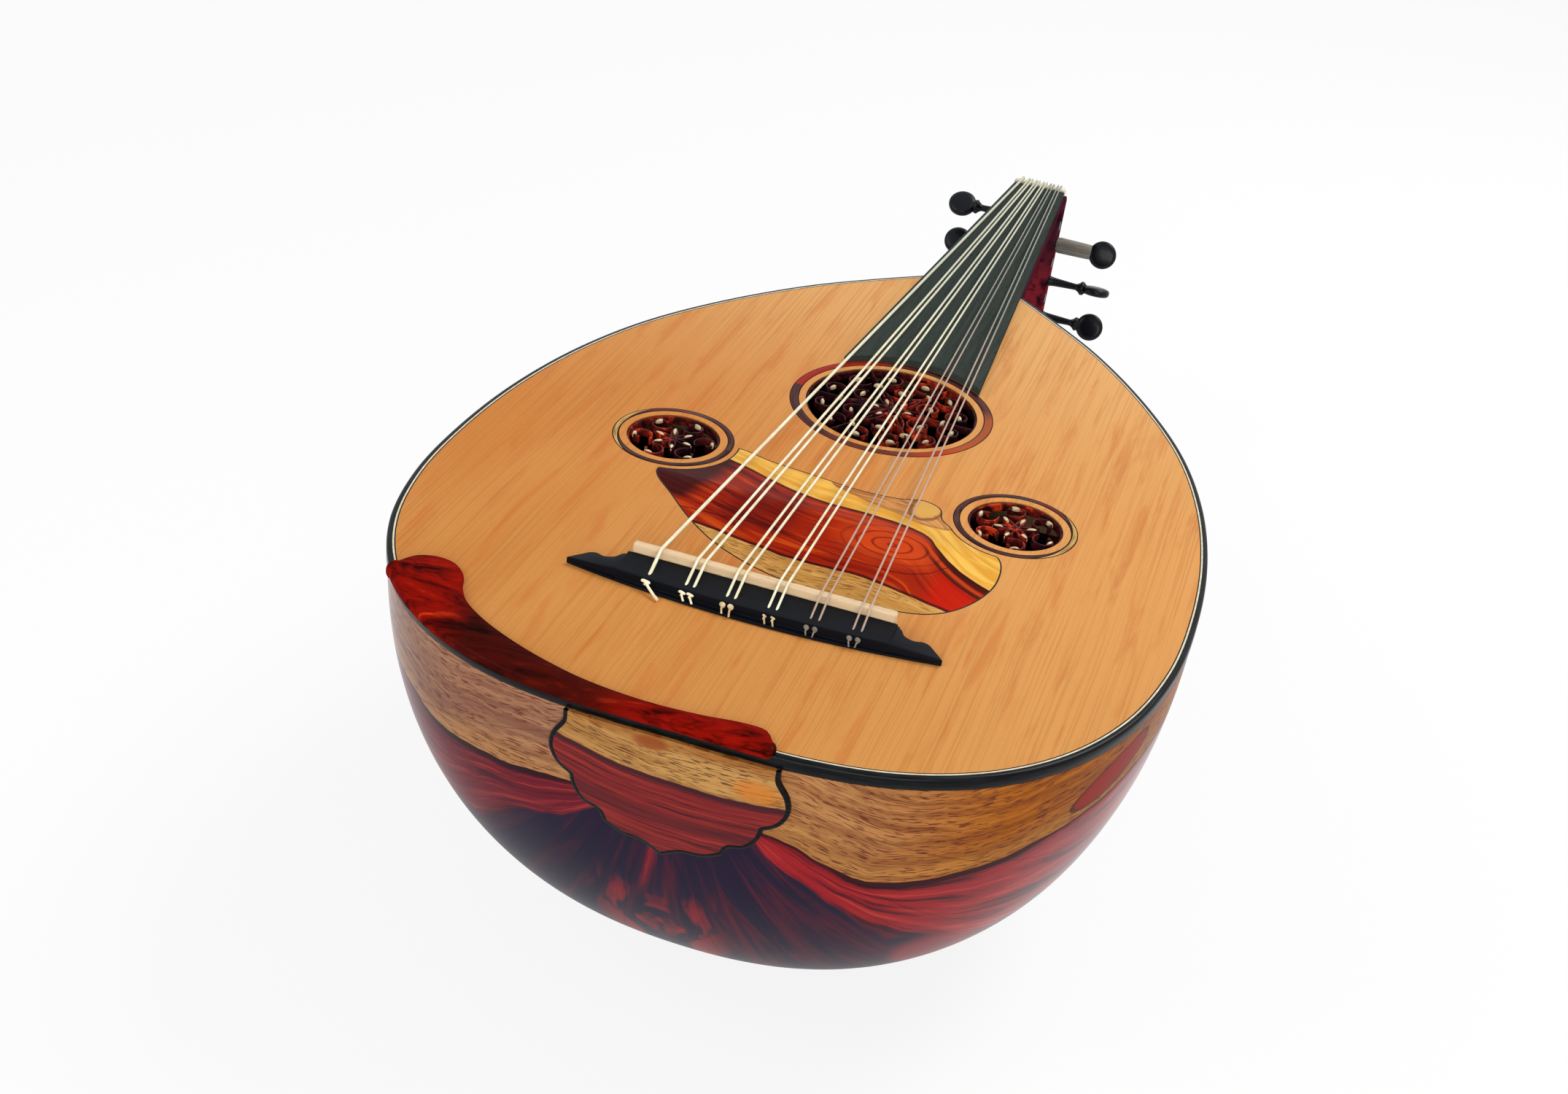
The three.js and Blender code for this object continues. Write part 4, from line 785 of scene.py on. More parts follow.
def cap_wood():
    """The tail cap: amber sapwood with an orange glow and a burnt spot, and red stripes below."""
    look, x, _, z = start_look("cap_wood")
    below = -z
    wave = noise(x * 0.05, below * 0.05) - 0.5
    deep = below - x.curve(CAP_SAPWOOD_EDGE) + wave * 2.5
    sap, marks = pored_sapwood(deep, x, (192, 144, 80), (162, 112, 54), (80, 40, 22))
    orange = squares((x - 38) / 11, (below - 19) / 6)
    burn = squares((x + 9) / 8, (below - 9.5) / 3.5) + wave
    sap = painted(
        sap,
        (orange.step(1.4, 0.1) * 0.7, (204, 116, 26)),
        ((below + wave * 6).step(12, 7) * 0.55, (150, 84, 22)),
        (burn.step(1.5, 0.3) * 0.8, (140, 62, 14)),
    )
    stripes = noise(deep * 0.75, x * 0.016, detail=4, distortion=0.3, roughness=0.65)
    red = painted(
        (62, 12, 18),
        (stripes.step(0.35, 0.5), (122, 26, 28)),
        (stripes.step(0.5, 0.7), (150, 46, 36)),
        (deep.band(20, 1.5, 3) * 0.6, (66, 16, 24)),
    )
    line = deep.step(-0.5, 0.2) * deep.step(4, 1.6)
    base = mix(line * 0.85, mix(deep.step(-0.3, 0.4), sap, red), (44, 10, 24))
    return look.finish(base, 0.4, 0.05, marks, 0.004, coat=0.25, coat_roughness=0.03)


# The edges of the pickguard's bands and the dark vein in its red one, as places (x, y)

GUARD_RED_TOP = [
    (-84, 228), (-55, 220), (-45, 216.5), (-35, 212.5), (-25, 209), (-15, 206), (-5, 204), (5, 203),
    (20, 203), (35, 202), (45, 200), (52, 197), (60, 188), (70, 177), (80, 169), (93, 162),
]
GUARD_RED_BOTTOM = [
    (-84, 154), (-52, 153.5), (-40, 152), (-30, 150), (-20, 148), (-10, 146.5), (0, 145), (20, 145),
    (30, 145.5), (40, 144.5), (50, 142.5), (60, 140), (70, 137.5), (93, 131),
]
GUARD_YELLOW_TOP = [
    (-84, 250), (-12, 234), (0, 220), (10, 217), (20, 213), (30, 211), (40, 208), (50, 206),
    (58, 206), (65, 218), (72, 250), (93, 255),
]
GUARD_VEIN = [
    (-84, 165), (-60, 165), (-40, 166), (-22, 167.5), (-5, 163), (10, 159.5), (30, 157.5), (45, 157),
    (60, 162), (68, 172), (93, 190),
]


def guard_yellow(x, y, over, sway):
    """The yellow band, with a tan corner beyond its upper edge and a knot there."""
    mottle = noise(over * 0.2, x * 0.04, detail=4, distortion=0.6)
    vein = noise(over * 0.3, x * 0.02, detail=4, distortion=0.9, roughness=0.65)
    knot = squares((x - 46) / 8, (y - 222) / 12).sqrt() + sway * 0.2
    outer = y - x.curve(GUARD_YELLOW_TOP) + sway
    tan = painted(
        mix(vein.step(0.46, 0.62), (224, 160, 92), (176, 112, 62)),
        (knot.step(0.9, 0.6), (222, 170, 86)),
        (knot.band(1, 0.06, 0.16) * 0.8, (128, 78, 40)),
    )
    yellow = painted(
        mix(mottle.step(0.36, 0.64), (228, 162, 56), (246, 194, 88)),
        (outer.step(-0.6, 1.2), tan),
        (outer.band(0.8, 0.5, 1) * 0.5, (150, 90, 44)),
    )
    return yellow, mottle


def guard_red(x, y, over, sway):
    """The red band: flowing streaks, a dark cloud on the left, and an eye with rings on the right."""
    flow = noise(over * 0.2, x * 0.013, detail=4, distortion=0.7, roughness=0.62)
    oval = squares((x - 40) * 0.66, y - 180).sqrt()
    eye = oval.step(24, 9)
    rings = ((oval + sway * 0.5) * 1.25).sine().step(0.6, 0.98)
    cloud = (x + sway * 1.6 - (y - 186) * 0.25).step(-52, -64) * (y + sway).step(169, 176)
    return painted(
        (98, 12, 8),
        (flow.step(0.34, 0.5), (164, 36, 8)),
        (flow.step(0.52, 0.68), (204, 74, 18)),
        (x.band(-26, 10, 18) * y.band(181, 12, 14) * 0.55, (88, 10, 10)),
        (cloud * 0.92, (44, 8, 11)),
        (eye * 0.7, (222, 78, 26)),
        (rings * eye * 0.7, (110, 20, 14)),
        (x.step(60, 72) * over.step(-9, -16) * 0.85, (196, 26, 4)),
        (over.band(-2.5, 1.8, 1.6) * x.step(48, 64) * 0.85, (38, 6, 6)),
        (over.band(-10.5, 0.9, 1.6) * x.step(48, 64) * 0.85, (38, 6, 6)),
        ((y - x.curve(GUARD_VEIN) + sway * 0.3).band(0, 0.25, 0.5) * 0.75, (72, 10, 12)),
    )


def guard_wood():
    """The pickguard: a yellow band above, red heartwood across it and an olive band below."""
    look, x, y, _ = start_look("guard_wood")
    sway = (noise(x * 0.06, y * 0.06, detail=3) - 0.5) * 4
    over = y - x.curve(GUARD_RED_TOP) + sway * 0.4
    under = x.curve(GUARD_RED_BOTTOM) - y + sway * 0.4
    yellow, mottle = guard_yellow(x, y, over, sway)
    olive = pored_sapwood(under, x, (222, 170, 94), (200, 142, 68), (124, 80, 42))[0]
    base = painted(
        guard_red(x, y, over, sway),
        (over.step(-0.3, 0.3), yellow),
        (under.step(-0.3, 0.3), olive),
        (over.band(-0.9, 0.7, 0.7) * 0.8, (52, 12, 12)),
        (under.band(-1, 0.8, 0.7) * 0.85, (46, 12, 20)),
    )
    return look.finish(base, 0.3, 0.02, mottle, 0.01)


def neck_wood():
    """The neck and pegbox: dark red wood with soft clouds, brighter lower down."""
    look, x, y, z = start_look("neck_wood")
    at = (y * 0.014, x * 0.035, z * 0.035)
    hair = noise(*at, scale=14, detail=3, distortion=0.5)
    tone = noise(*at, scale=1.6, detail=4, distortion=1.2, roughness=0.55) + (hair - 0.5) * 0.2
    mid = mix(z.step(-30, -70), (84, 38, 52), (156, 46, 58))
    base = painted((52, 18, 32), (tone.step(0.3, 0.56), mid), (tone.step(0.58, 0.7), (104, 26, 36)))
    return look.finish(base, 0.45, 0, hair, 0.01)


def arm_wood():
    """The arm guard: brown in its middle, red at its head and bright red at its right end."""
    look, x, y, z = start_look("arm_wood")
    at = (x * 0.015, y * 0.045, z * 0.05)
    hair = noise(*at, scale=12, detail=3, distortion=0.5)
    tone = noise(*at, scale=1.5, detail=5, distortion=1.2, roughness=0.62) + (hair - 0.5) * 0.16
    warm = x.step(-96, -122).max(x.step(-42, -8))
    dark = mix(warm, (24, 5, 3), (48, 3, 2))
    mid = mix(warm, (70, 12, 6), (146, 16, 5))
    bright = mix(warm, (118, 26, 8), (216, 62, 16))
    base = painted(dark, (tone.step(0.34, 0.56), mid), (tone.step(0.56, 0.74), bright))
    return look.finish(base, 0.3, 0, hair, 0.01, coat=0.035, coat_roughness=0.05)


def fret_wood():
    """The roses' fretwork: almost black, with a painted red highlight on one part of each rose."""
    look, x, y, z = start_look("fret_wood")
    cloud = noise(x, y, z, scale=0.16, detail=4, distortion=1.2)
    # lit: where each rose's painted highlight falls, lighter and redder; bright is a painted orange-red
    # glint, strongest there.
    lit = x.band(14, 12, 12).max(x.band(-102, 8, 9)).max(x.band(84, 10, 9))
    dark = mix(lit, (26, 9, 13), (48, 12, 14))
    mid = mix(lit, (58, 18, 24), (124, 34, 24))
    bright = cloud.step(0.54, 0.66) * (lit + 0.12)
    base = painted(dark, (cloud.step(0.38, 0.56), mid), (bright, (206, 62, 26)))
    return look.finish(base, 0.32, 0.06, cloud, 0.02)


def ring_wood(rose):
    """A ring round a rose, with thin black lines at its edges. A small one isn't even all round."""
    look, x, y, _ = start_look("ring_wood_" + rose.name)
    side = -1 if rose.x < 0 else 1
    across = (x - rose.x) * side
    ahead = y - rose.y
    radius = squares(across, ahead).sqrt()
    turn = ahead.arctan2(across)
    inner, outer = rose.ring
    grain = noise(radius * 0.5, turn * 1.3, side, detail=4, distortion=0.8, scale=1.3)
    if rose is MAIN_ROSE:
        base = painted(
            mix(grain.step(0.38, 0.62), (66, 36, 40), (98, 54, 48)),
            (turn.band(2.65, 0.6, 0.3) * 0.85, (170, 38, 28)),
            (turn.band(-0.85, 0.3, 0.3) * 0.85, (200, 66, 28)),
            (turn.band(-0.15, 0.35, 0.3) * 0.85, (178, 90, 48)),
            (turn.band(-1.5, 0.3, 0.3) * 0.85, (112, 60, 44)),
            (grain.step(0.5, 0.8) * 0.3, (40, 20, 24)),
        )
    else:
        gold = noise(radius * 0.9, turn * 2, detail=3).step(0.4, 0.6)
        edge = inner + 6.3 - (turn + 0.08).cosine() * 6
        outside = radius - edge
        base = painted(
            mix(grain.step(0.38, 0.6), (46, 26, 28), (88, 54, 48)),
            (turn.band(1.15, 0.2, 0.3) * 0.6, (112, 38, 28)),
            (outside.step(-0.15, 0.15), mix(gold, (150, 118, 64), (212, 170, 104))),
            (outside.band(0, 0.2, 0.25) * (outer - edge).step(0, 0.3), (34, 18, 18)),
        )
    base = painted(base, *((radius.band(place, 0.35, 0.3), (26, 14, 15)) for place in rose.ring))
    return look.finish(base, 0.3, 0.03, grain, 0.01)


def black_lacquer():
    """The edge binding: black with a trace of wear."""
    look, x, y, z = start_look("black_lacquer")
    wear = noise(x * 0.08, y * 0.08, z, detail=4)
    base = mix(wear.step(0.4, 0.75), (8, 9, 11), (24, 26, 30))
    return look.finish(base, wear * 0.2 + 0.18, 0.08, wear, 0.03, coat=0.03, coat_roughness=0.08)


def wound_string():
    """White silver winding, greyer towards the nut."""
    look, x, y, z = start_look("string_winding")
    coil = ((y + z) * 22).sine()
    dust = noise(x, y * 0.3, z, scale=0.4, detail=3)
    base = mix(dust.step(0.35, 0.65), (236, 228, 192), (252, 247, 218))
    base = mix(y.step(330, 520) * 0.85, base, (196, 198, 178))
    return look.finish(base, 0.45, 0.4, coil, 0.004)


def nylon_string():
    """Half clear nylon, greyer towards the nut."""
    look, x, y, z = start_look("string_nylon")
    haze = noise(x, y * 0.1, z, scale=0.3, detail=3)
    base = mix(haze, (206, 176, 154), (236, 214, 194))
    base = mix(y.step(330, 480) * 0.9, base, (150, 154, 144))
    return look.finish(base, 0.18, 0.5, haze, 0.004, more={"Transmission Weight": 0.45, "IOR": 1.4})


def bone(name, light, dark):
    look, x, y, z = start_look(name)
    cloud = noise(x * 0.3, y * 0.3, z * 0.3, detail=4)
    base = mix(cloud.step(0.35, 0.7), dark, light)
    return look.finish(base, 0.3, 0.5, cloud, 0.01, coat=0.3)


LOOKS = {
    "cedar": cedar(),
    "bowl": bowl_wood(),
    "cap": cap_wood(),
    "guard": guard_wood(),
    "arm": arm_wood(),
    "fret": fret_wood(),
    "neck": neck_wood(),
    "lacquer": black_lacquer(),
    **{f"ring_{rose.name}": ring_wood(rose) for rose in ROSES},
    "bridge": ebony("bridge_ebony", (8, 10, 15), (17, 20, 27), roughness=0.45, specular=0.06),
    # The fingerboard is ebony lightened to a grey-green that stands in for its sheen, with no specular:
    # painted sheen.
    "board": ebony("fingerboard_ebony", (52, 58, 55), (71, 78, 73), "y", roughness=0.55, specular=0),
    "peg": ebony("peg_ebony", (5, 7, 13), (14, 17, 26), coat=0.05, specular=0.14),
    "grey_peg": axis_wood("peg_grey_wood", (150, 150, 138), (96, 86, 74), "x", 2.2, 40, 0.9,
                          (60, 50, 42), 0.4, 0.3),
    "maple": axis_wood("saddle_maple", (240, 214, 176), (216, 184, 140), "x", 1.6, 40, 0.7,
                       (186, 148, 104), 0.45, 0.3),
    "spruce": axis_wood("inner_spruce", (222, 190, 138), (190, 150, 96), "x", 2.5, 120, 0.8,
                        (168, 126, 78), 0.7),
    "bone": bone("bone", (238, 232, 208), (214, 202, 168)),
    "seed": bone("seed_horn", (228, 212, 170), (184, 158, 112)),
    "wound": wound_string(),
    "nylon": nylon_string(),
}


# The bowl

def rib_part(number):
    """Rib 0 is at the right rim. Its points carry their place from the tail and round the bowl."""
    shares = np.linspace(RIB_TIP_RADIUS / HALF_RIM, 1, RIB_GRID[0])
    step = pi / RIB_COUNT
    angles = np.linspace(number * step, (number + 1) * step, RIB_GRID[1])
    outer, inner = (bowl_points(shares, angles, depth) for depth in (0, RIB_THICKNESS))
    rings = np.concatenate([outer, inner[:, ::-1]], axis=1)
    if number in EDGE_RIBS:
        rings[..., 2] = np.minimum(rings[..., 2], UNDER_BINDING)
    around = np.degrees(np.r_[angles, angles[::-1]])
    far = np.broadcast_to((shares * HALF_RIM)[:, None], rings.shape[:2])
    return loft(rings), {"rim_distance": far, "rib_angle": np.broadcast_to(around, far.shape)}


def make_bowl():
    for number in range(RIB_COUNT):
        part, values = rib_part(number)
        piece(f"bowl_strip_{number + 1}", part, "bowl", f"bowl_rib_{number + 1}", crease=50,
              values=values)


def cap_outline():
    """The cap's scalloped side, as (x, z) places, from its right upper corner round to its left."""
    right = [(x * TAIL_CAP.half_width, UNDER_BINDING - y * TAIL_CAP.height) for x, y in CAP_OUTLINE_SHARES]
    line = [smooth_curve(right[a:b + 1])[:-1] for a, b in zip(CAP_CUSPS, CAP_CUSPS[1:])]
    line = np.vstack([*line, [right[-1]]])
    return np.vstack([line, line[:-1][::-1] * (-1, 1)])


def tail_cap_part():
    outline = cap_outline()
    loop = np.vstack([outline, np.linspace(outline[-1], outline[0], 26)[1:-1]])
    middle = np.array([0, TAIL_CAP.middle])
    hub, steps = TAIL_CAP.hub_share, TAIL_CAP.steps
    out = [(TAIL_CAP.back, share) for share in np.linspace(hub, 1, steps)]
    out += [(TAIL_CAP.face, share) for share in np.linspace(0.995, hub, steps)]
    return loft([bowl_face(middle + (loop - middle) * share, offset) for offset, share in out])


def tail_cap_edge_part():
    """The black strip round the cap's scalloped side."""
    path = cap_outline()
    side = left_of(unit(np.gradient(path, axis=0)))
    columns = [bowl_face(path + side * out, offset) for out, offset in CAP_EDGE_PROFILE]
    return loft(np.stack(columns, axis=1))


def make_tail():
    piece("tail_cap_face", tail_cap_part(), "cap", "tail_cap")
    piece("tail_cap_edge", tail_cap_edge_part(), "lacquer")


# The soundboard and what is let into it

def guard_loop(grow):
    """The pickguard's outline, kept clear of the small roses, and grown by a distance."""
    points = [(x * GUARD.half_width, GUARD.base + y * GUARD.height) for x, y in GUARD_OUTLINE_SHARES]
    loop = closed_curve(points, 10)
    loop = evenly([*loop, loop[0]], 241)[:-1]
    for rose in SMALL_ROSES:
        away = loop - (rose.x, rose.y)
        distance = np.linalg.norm(away, axis=1)[:, None]
        pushed = (rose.x, rose.y) + away / distance * GUARD.rose_reach
        loop = np.where(distance < GUARD.rose_reach, pushed, loop)
    return inset(wise(loop, True), -grow)


def soundboard_part():
    """A board with holes for the roses and shallow beds for the rings and the pickguard."""
    def down(loop, level):
        return wall([(loop, 0), (loop, level)])

    outer = wise(rim(np.linspace(-1, 1, RIM_STEPS), -BOARD_INSET), True)
    guard = guard_loop(BED_GAP)
    beds = [circle(rose.x, rose.y, rose.ring[1] + BED_GAP)[::-1] for rose in ROSES]
    lands = [circle(rose.x, rose.y, rose.ring[0] - BED_GAP) for rose in ROSES]
    holes = [circle(rose.x, rose.y, rose.hole)[::-1] for rose in ROSES]
    bed, bottom = -INLAY_DEPTH, -SOUNDBOARD_THICKNESS
    parts = [filled([outer, guard[::-1], *beds], 0), filled([outer, *holes], bottom)]
    parts += [filled([guard], bed), down(outer, bottom), down(guard, bed)]
    for outside, land, hole in zip(beds, lands, holes):
        parts += [filled([land, hole], 0), filled([outside[::-1], land[::-1]], bed)]
        parts += [down(outside, bed), down(land, bed), down(hole, bottom)]
    return joined(parts)


def make_soundboard():
    piece("soundboard_face", soundboard_part(), "cedar", "soundboard", level=True)
    piece("binding", rim_sweep(BINDING_PROFILE), "lacquer", "edge_binding")
    bottom, top = PURFLING.bottom, PURFLING.top
    lines = (("pale", PURFLING.pale, "bone", None), ("dark", PURFLING.dark, "lacquer", "binding_black"))
    for name, (start, end), look, slot in lines:
        profile = [(start, bottom), (end, bottom), (end, top), (start, top)]
        piece(f"purfling_{name}", rim_sweep(profile), look)
    for rose in ROSES:
        ring = f"ring_{rose.name}"
        loops = [circle(rose.x, rose.y, radius) for radius in reversed(rose.ring)]
        face = plate(loops, INLAY_BOTTOM, RING.top, RING.soft, 2)
        piece(ring, face, ring, f"rose_{ring}", level=True)
    face = plate([guard_loop(-GUARD.grow)], INLAY_BOTTOM, GUARD.top, GUARD.soft, 2)
    piece("pickguard_face", face, "guard", "pickguard", level=True)
    path = guard_loop(-GUARD.line_grow)
    levels = (INLAY_BOTTOM, GUARD.line_top)
    line = strip(path, GUARD.line_width, *levels, closed=True, soft_share=GUARD.line_soft_share)
    piece("pickguard_line", line, "lacquer")


# Roses

def scroll(x, y, radius, start, turns, bar, levels):
    """A bar that winds in on itself and ends in a ball."""
    radii = radius * (1 - FRET.closing_share * np.linspace(0, 1, FRET.steps))
    line = arc(x, y, radii, start, start + turns * 2 * pi, FRET.steps)
    ball = circle(*line[-1], bar * FRET.ball_share, 12)
    return [strip(line, bar, *levels), plate([ball], *levels, FRET.ball_soft)]


def rose_parts(rose):
    """Fretwork: a rim, a flower of bowed petals, tiers of scrolls. And its pale seeds."""
    middle, hole = np.array([rose.x, rose.y]), rose.hole
    kind = FRETWORK["main" if rose is MAIN_ROSE else "small"]
    levels = (ROSE_BOTTOM, FRET.face)
    flange = [circle(*middle, hole + FRET.overlap), circle(*middle, hole - FRET.ledge)]
    collar = [circle(*middle, hole - inwards) for inwards in FRET.collar]
    heart = circle(*middle, hole * kind.heart_share, 24)
    red = [
        plate(flange, ROSE_BOTTOM, ROSE_TOP, FRET.soft),
        plate(collar, *levels, FRET.soft),
        plate([heart], *levels, FRET.heart_soft),
    ]
    pale = []

    def spot(turn, share):
        return middle + np.array([cos(turn), sin(turn)]) * hole * share

    def leaf(turn, share, lean, length):
        pale.append(seed(*spot(turn, share), turn + lean, length, ROSE_TOP, FRET.face + FRET.seed_rise))

    for index in range(FRET.petals):
        turn = rose.tilt + index * 2 * pi / FRET.petals
        for share in kind.petal_shares:
            bow = arc(*spot(turn, share), hole * share, turn + pi * 2 / 3, turn + pi * 4 / 3, 22)
            red.append(strip(bow, kind.bar, *levels))
        leaf(turn, kind.seed_share, 0, kind.seed)
        if rose is MAIN_ROSE:
            leaf(turn, 0.62, 1.3, FRET.outer_seed)
            spoke = evenly([spot(turn, share) for share in FRET.spoke_shares], 8)
            red.append(strip(spoke, kind.bar * 0.8, *levels))
    for count, shift, share, size, beyond in kind.tiers:
        for index in range(count):
            turn = rose.tilt + (index + shift) * 2 * pi / count
            hand = 1 if index % 2 else -1
            start = turn + pi * 0.8 * hand
            red += scroll(*spot(turn, share), hole * size, start, 0.8 * hand, kind.bar, levels)
            leaf(turn, share + beyond, 1.4 * hand, FRET.scroll_seed)
    return joined(red), joined(pale)


def make_roses():
    for rose in ROSES:
        red, pale = rose_parts(rose)
        piece(f"fretwork_{rose.name}", red, "fret", f"rose_{rose.name}")
        piece(f"seeds_{rose.name}", pale, "seed")


# Arm guard

def arm_guard_part():
    """A rail along the rim, with a crowned face, a lip over the binding and rounded ends."""
    inner = [(x * BODY_HALF_WIDTH, y * BODY_LENGTH) for x, y in ARM_GUARD_INNER_SHARES]
    inner = evenly(smooth_curve(inner), ARM_GUARD.steps)
    shares = np.linspace(0.5, -0.5, 2001)
    x = rim(shares, ARM_GUARD.overhang)[:, 0] / BODY_HALF_WIDTH
    covered = shares[(x < ARM_GUARD_END_SHARES[0]) & (x > ARM_GUARD_END_SHARES[1])]
    places = np.linspace(covered[0], covered[-1], ARM_GUARD.steps)
    rings = []
    for a, b, c in zip(inner, rim(places, ARM_GUARD.overhang), rim(places, ARM_GUARD.lip)):
        width = np.linalg.norm(b - a)
        to = (b - a) / width
        soft = to * min(ARM_GUARD.soft, width * 0.25)
        section = [
            *((a + soft * share, up) for share, up in ARM_GUARD_INNER_ROUND_SHARES),
            (a + to * width * ARM_GUARD.crown_share, ARM_GUARD.height),
            *((b - soft * share, up) for share, up in ARM_GUARD_OUTER_ROUND_SHARES),
            (b - to * ARM_GUARD.lip_soft, ARM_GUARD.lip_bottom),
            *((c - to * inwards, up) for inwards, up in ARM_GUARD_LIP),
        ]
        rings.append([(*flat, level) for flat, level in section])
    rings = np.array(rings)
    ends = []
    for end, before in (rings[:2], rings[:-3:-1]):
        middle = end.mean(axis=0)
        away = unit((middle - before.mean(axis=0)) * (1, 1, 0)) * ARM_GUARD.round_end
        ends.append([
            middle + (end - middle) * (cos(a), cos(a), cos(a) ** 0.7) + away * sin(a)
            for a in np.radians((20, 40, 60, 78))
        ])
    return loft([*ends[0][::-1], *rings, *ends[1]])


# Bridge, saddle, strings

def bridge_back(x, start=BRIDGE.top_back):
    """The bridge's tail side, bowed, at its top or from another start."""
    return start + (BRIDGE.tip - start) * (abs(x) / BRIDGE.half) ** 2


def bridge_end(side):
    """One carved end: a plate that rises towards the bridge's body, and the strip under its back."""
    b = BRIDGE
    reach, depth = b.half - b.body_half, b.front - b.tip
    run = np.linspace(b.body_half - b.overlap, b.half - b.blunt, 12)
    line = smooth_curve([(b.body_half + u * reach, b.tip + v * depth) for u, v in BRIDGE_END_SHARES])
    under = [(x, bridge_back(x)) for x in run[::-1]]
    loop = np.vstack([(run[0], line[0][1]), line, under])
    points, faces = plate([loop * (side, 1)], SEAM, b.end_height, b.back_soft)
    near = np.clip((b.half - np.abs(points[:, 0])) / reach, 0, 1)
    above = points[:, 2] > b.foot
    points[:, 2] += np.where(above, near * (b.back_height - b.end_height), 0)
    foot = [*((x, bridge_back(x, b.back)) for x in run), *((x, y + b.foot_reach) for x, y in under)]
    return [(points, faces), plate([np.array(foot) * (side, 1)], SEAM, b.foot, b.foot_soft)]


def bridge_part():
    """The body, with a ledge that the saddle stands on, and both carved ends."""
    b, soft = BRIDGE, BRIDGE.soft
    saddle, top = SADDLE_PLACE - SEAM, b.front_height
    rings = []
    for x in np.linspace(-b.body_half, b.body_half, 25):
        back, foot = bridge_back(x), bridge_back(x, b.back)
        section = [
            (foot, SEAM), (b.front, SEAM), (b.front, SADDLE.ledge), (saddle, SADDLE.ledge),
            (saddle, top - soft), (saddle - soft, top), (back + b.back_soft, b.back_height),
            (back, b.back_height - b.back_soft), (back, b.foot + soft), (back - soft, b.foot),
            (foot + soft, b.foot), (foot, b.foot - soft),
        ]
        rings.append([(x, y, z) for y, z in section])
    return joined([loft(rings), *bridge_end(-1), *bridge_end(1)])


def make_bridge():
    piece("bridge_carved", bridge_part(), "bridge", "bridge", level=True)
    y = (SADDLE_PLACE, SADDLE_PLACE + SADDLE.thickness)
    z = (SADDLE.ledge + SEAM, SADDLE.height + SADDLE.crown)
    bar = softened_block((-SADDLE.half, SADDLE.half), y, z, SADDLE.soft)
    piece("saddle_bar", bar, "maple", "saddle")


def string_x(index, over):
    """Where a string crosses the saddle or the nut: the first is single and the others are in pairs."""
    middle = (ceil(index / 2) - 2.5) * over.course_pitch
    if index == 0:
        return middle
    return middle + (-over.pair_pitch / 2 if index % 2 else over.pair_pitch / 2)


def in_box(along, out):
    """A place in the pegbox as (y, z): down its length and out of its open side."""
    return np.array([
        PEGBOX.origin + cos(BEND) * along + sin(BEND) * out,
        -sin(BEND) * along + cos(BEND) * out,
    ])


def down_box(place):
    """How far down the pegbox's length a place (y, z) is."""
    return (place - in_box(0, 0)) @ (cos(BEND), -sin(BEND))


def taper(ends, along):
    return ends[0] + (ends[1] - ends[0]) * along / PEGBOX.length


def box_half(along):
    return taper((PEGBOX.half_top, PEGBOX.half_tip), along)


def peg_place(peg):
    return FIRST_PEG + PEG_PITCH * peg


def peg_side(peg):
    """Pegs' heads are on the left and the right in turn, the first on the left."""
    return 1 if peg % 2 else -1


def at_peg(peg, points):
    return points + (0, *in_box(peg_place(peg), 0))


def shaft_radius(place, half):
    head, end = PEG.radius
    return head + (end - head) * (half - place) / (2 * half)


def winding(peg, radius):
    """A string's turns round its peg, inwards on the first two, and its end."""
    place, side = peg_place(peg), peg_side(peg)
    pitch = 2 * radius + WINDING_GAP
    outermost = box_half(place) - PEGBOX.cheek - WINDING_GAP - radius
    start, step = (outermost, -pitch) if peg < 2 else (outermost - pitch * WINDING_TURNS, pitch)
    wound = []
    for turn in np.linspace(0, WINDING_TURNS, WINDING_TURNS * WINDING_STEPS + 1):
        x = start + step * turn
        reach = shaft_radius(x, box_half(place)) + SEAM + radius
        angle = 2 * pi * turn
        wound.append((side * x, *in_box(place + reach * sin(angle), reach * cos(angle))))
    end = wound[-1] + np.array([0, cos(BEND), -sin(BEND)]) * 2 * radius
    return [*wound, end]


def string_path(index, radius):
    """A string's line from behind the bridge over the saddle and the nut, and round its peg."""
    at_saddle, at_nut = string_x(index, SADDLE), string_x(index, NUT)
    over_nut = NUT.height + SEAM + radius
    saddle = np.array([SADDLE_PLACE, SADDLE.height + SEAM + radius])
    back = np.array([bridge_back(at_saddle), KNOT_LEVEL])
    behind = back - unit(saddle - back) * STRING_BEHIND
    slope = [back + (saddle - back) * share for share in (0.5, 0.95)]
    rise = [behind, back, *slope, saddle + STRING_OVER_SADDLE]
    run = np.linspace(0.02, 0.985, 12)[:, None]
    start, end = np.array([(at_saddle, *saddle), (at_nut, NUT.place, over_nut)])
    over = [(at_nut, y, over_nut) for y in (NUT.place, NECK_END - 1, NECK_END + 0.6 + radius)]
    peg = 2 * index if index < 6 else 2 * (PEG_COUNT - 1 - index) + 1
    return np.vstack([at_x(at_saddle, rise), start + (end - start) * run, over, winding(peg, radius)])


def make_strings():
    for index, diameter in enumerate(STRING_DIAMETERS):
        look = "wound" if index < WOUND_STRINGS else "nylon"
        part = tube(string_path(index, diameter / 2), diameter / 2)
        piece(f"string_{index + 1}_run", part, look, f"string_{index + 1}", crease=60)


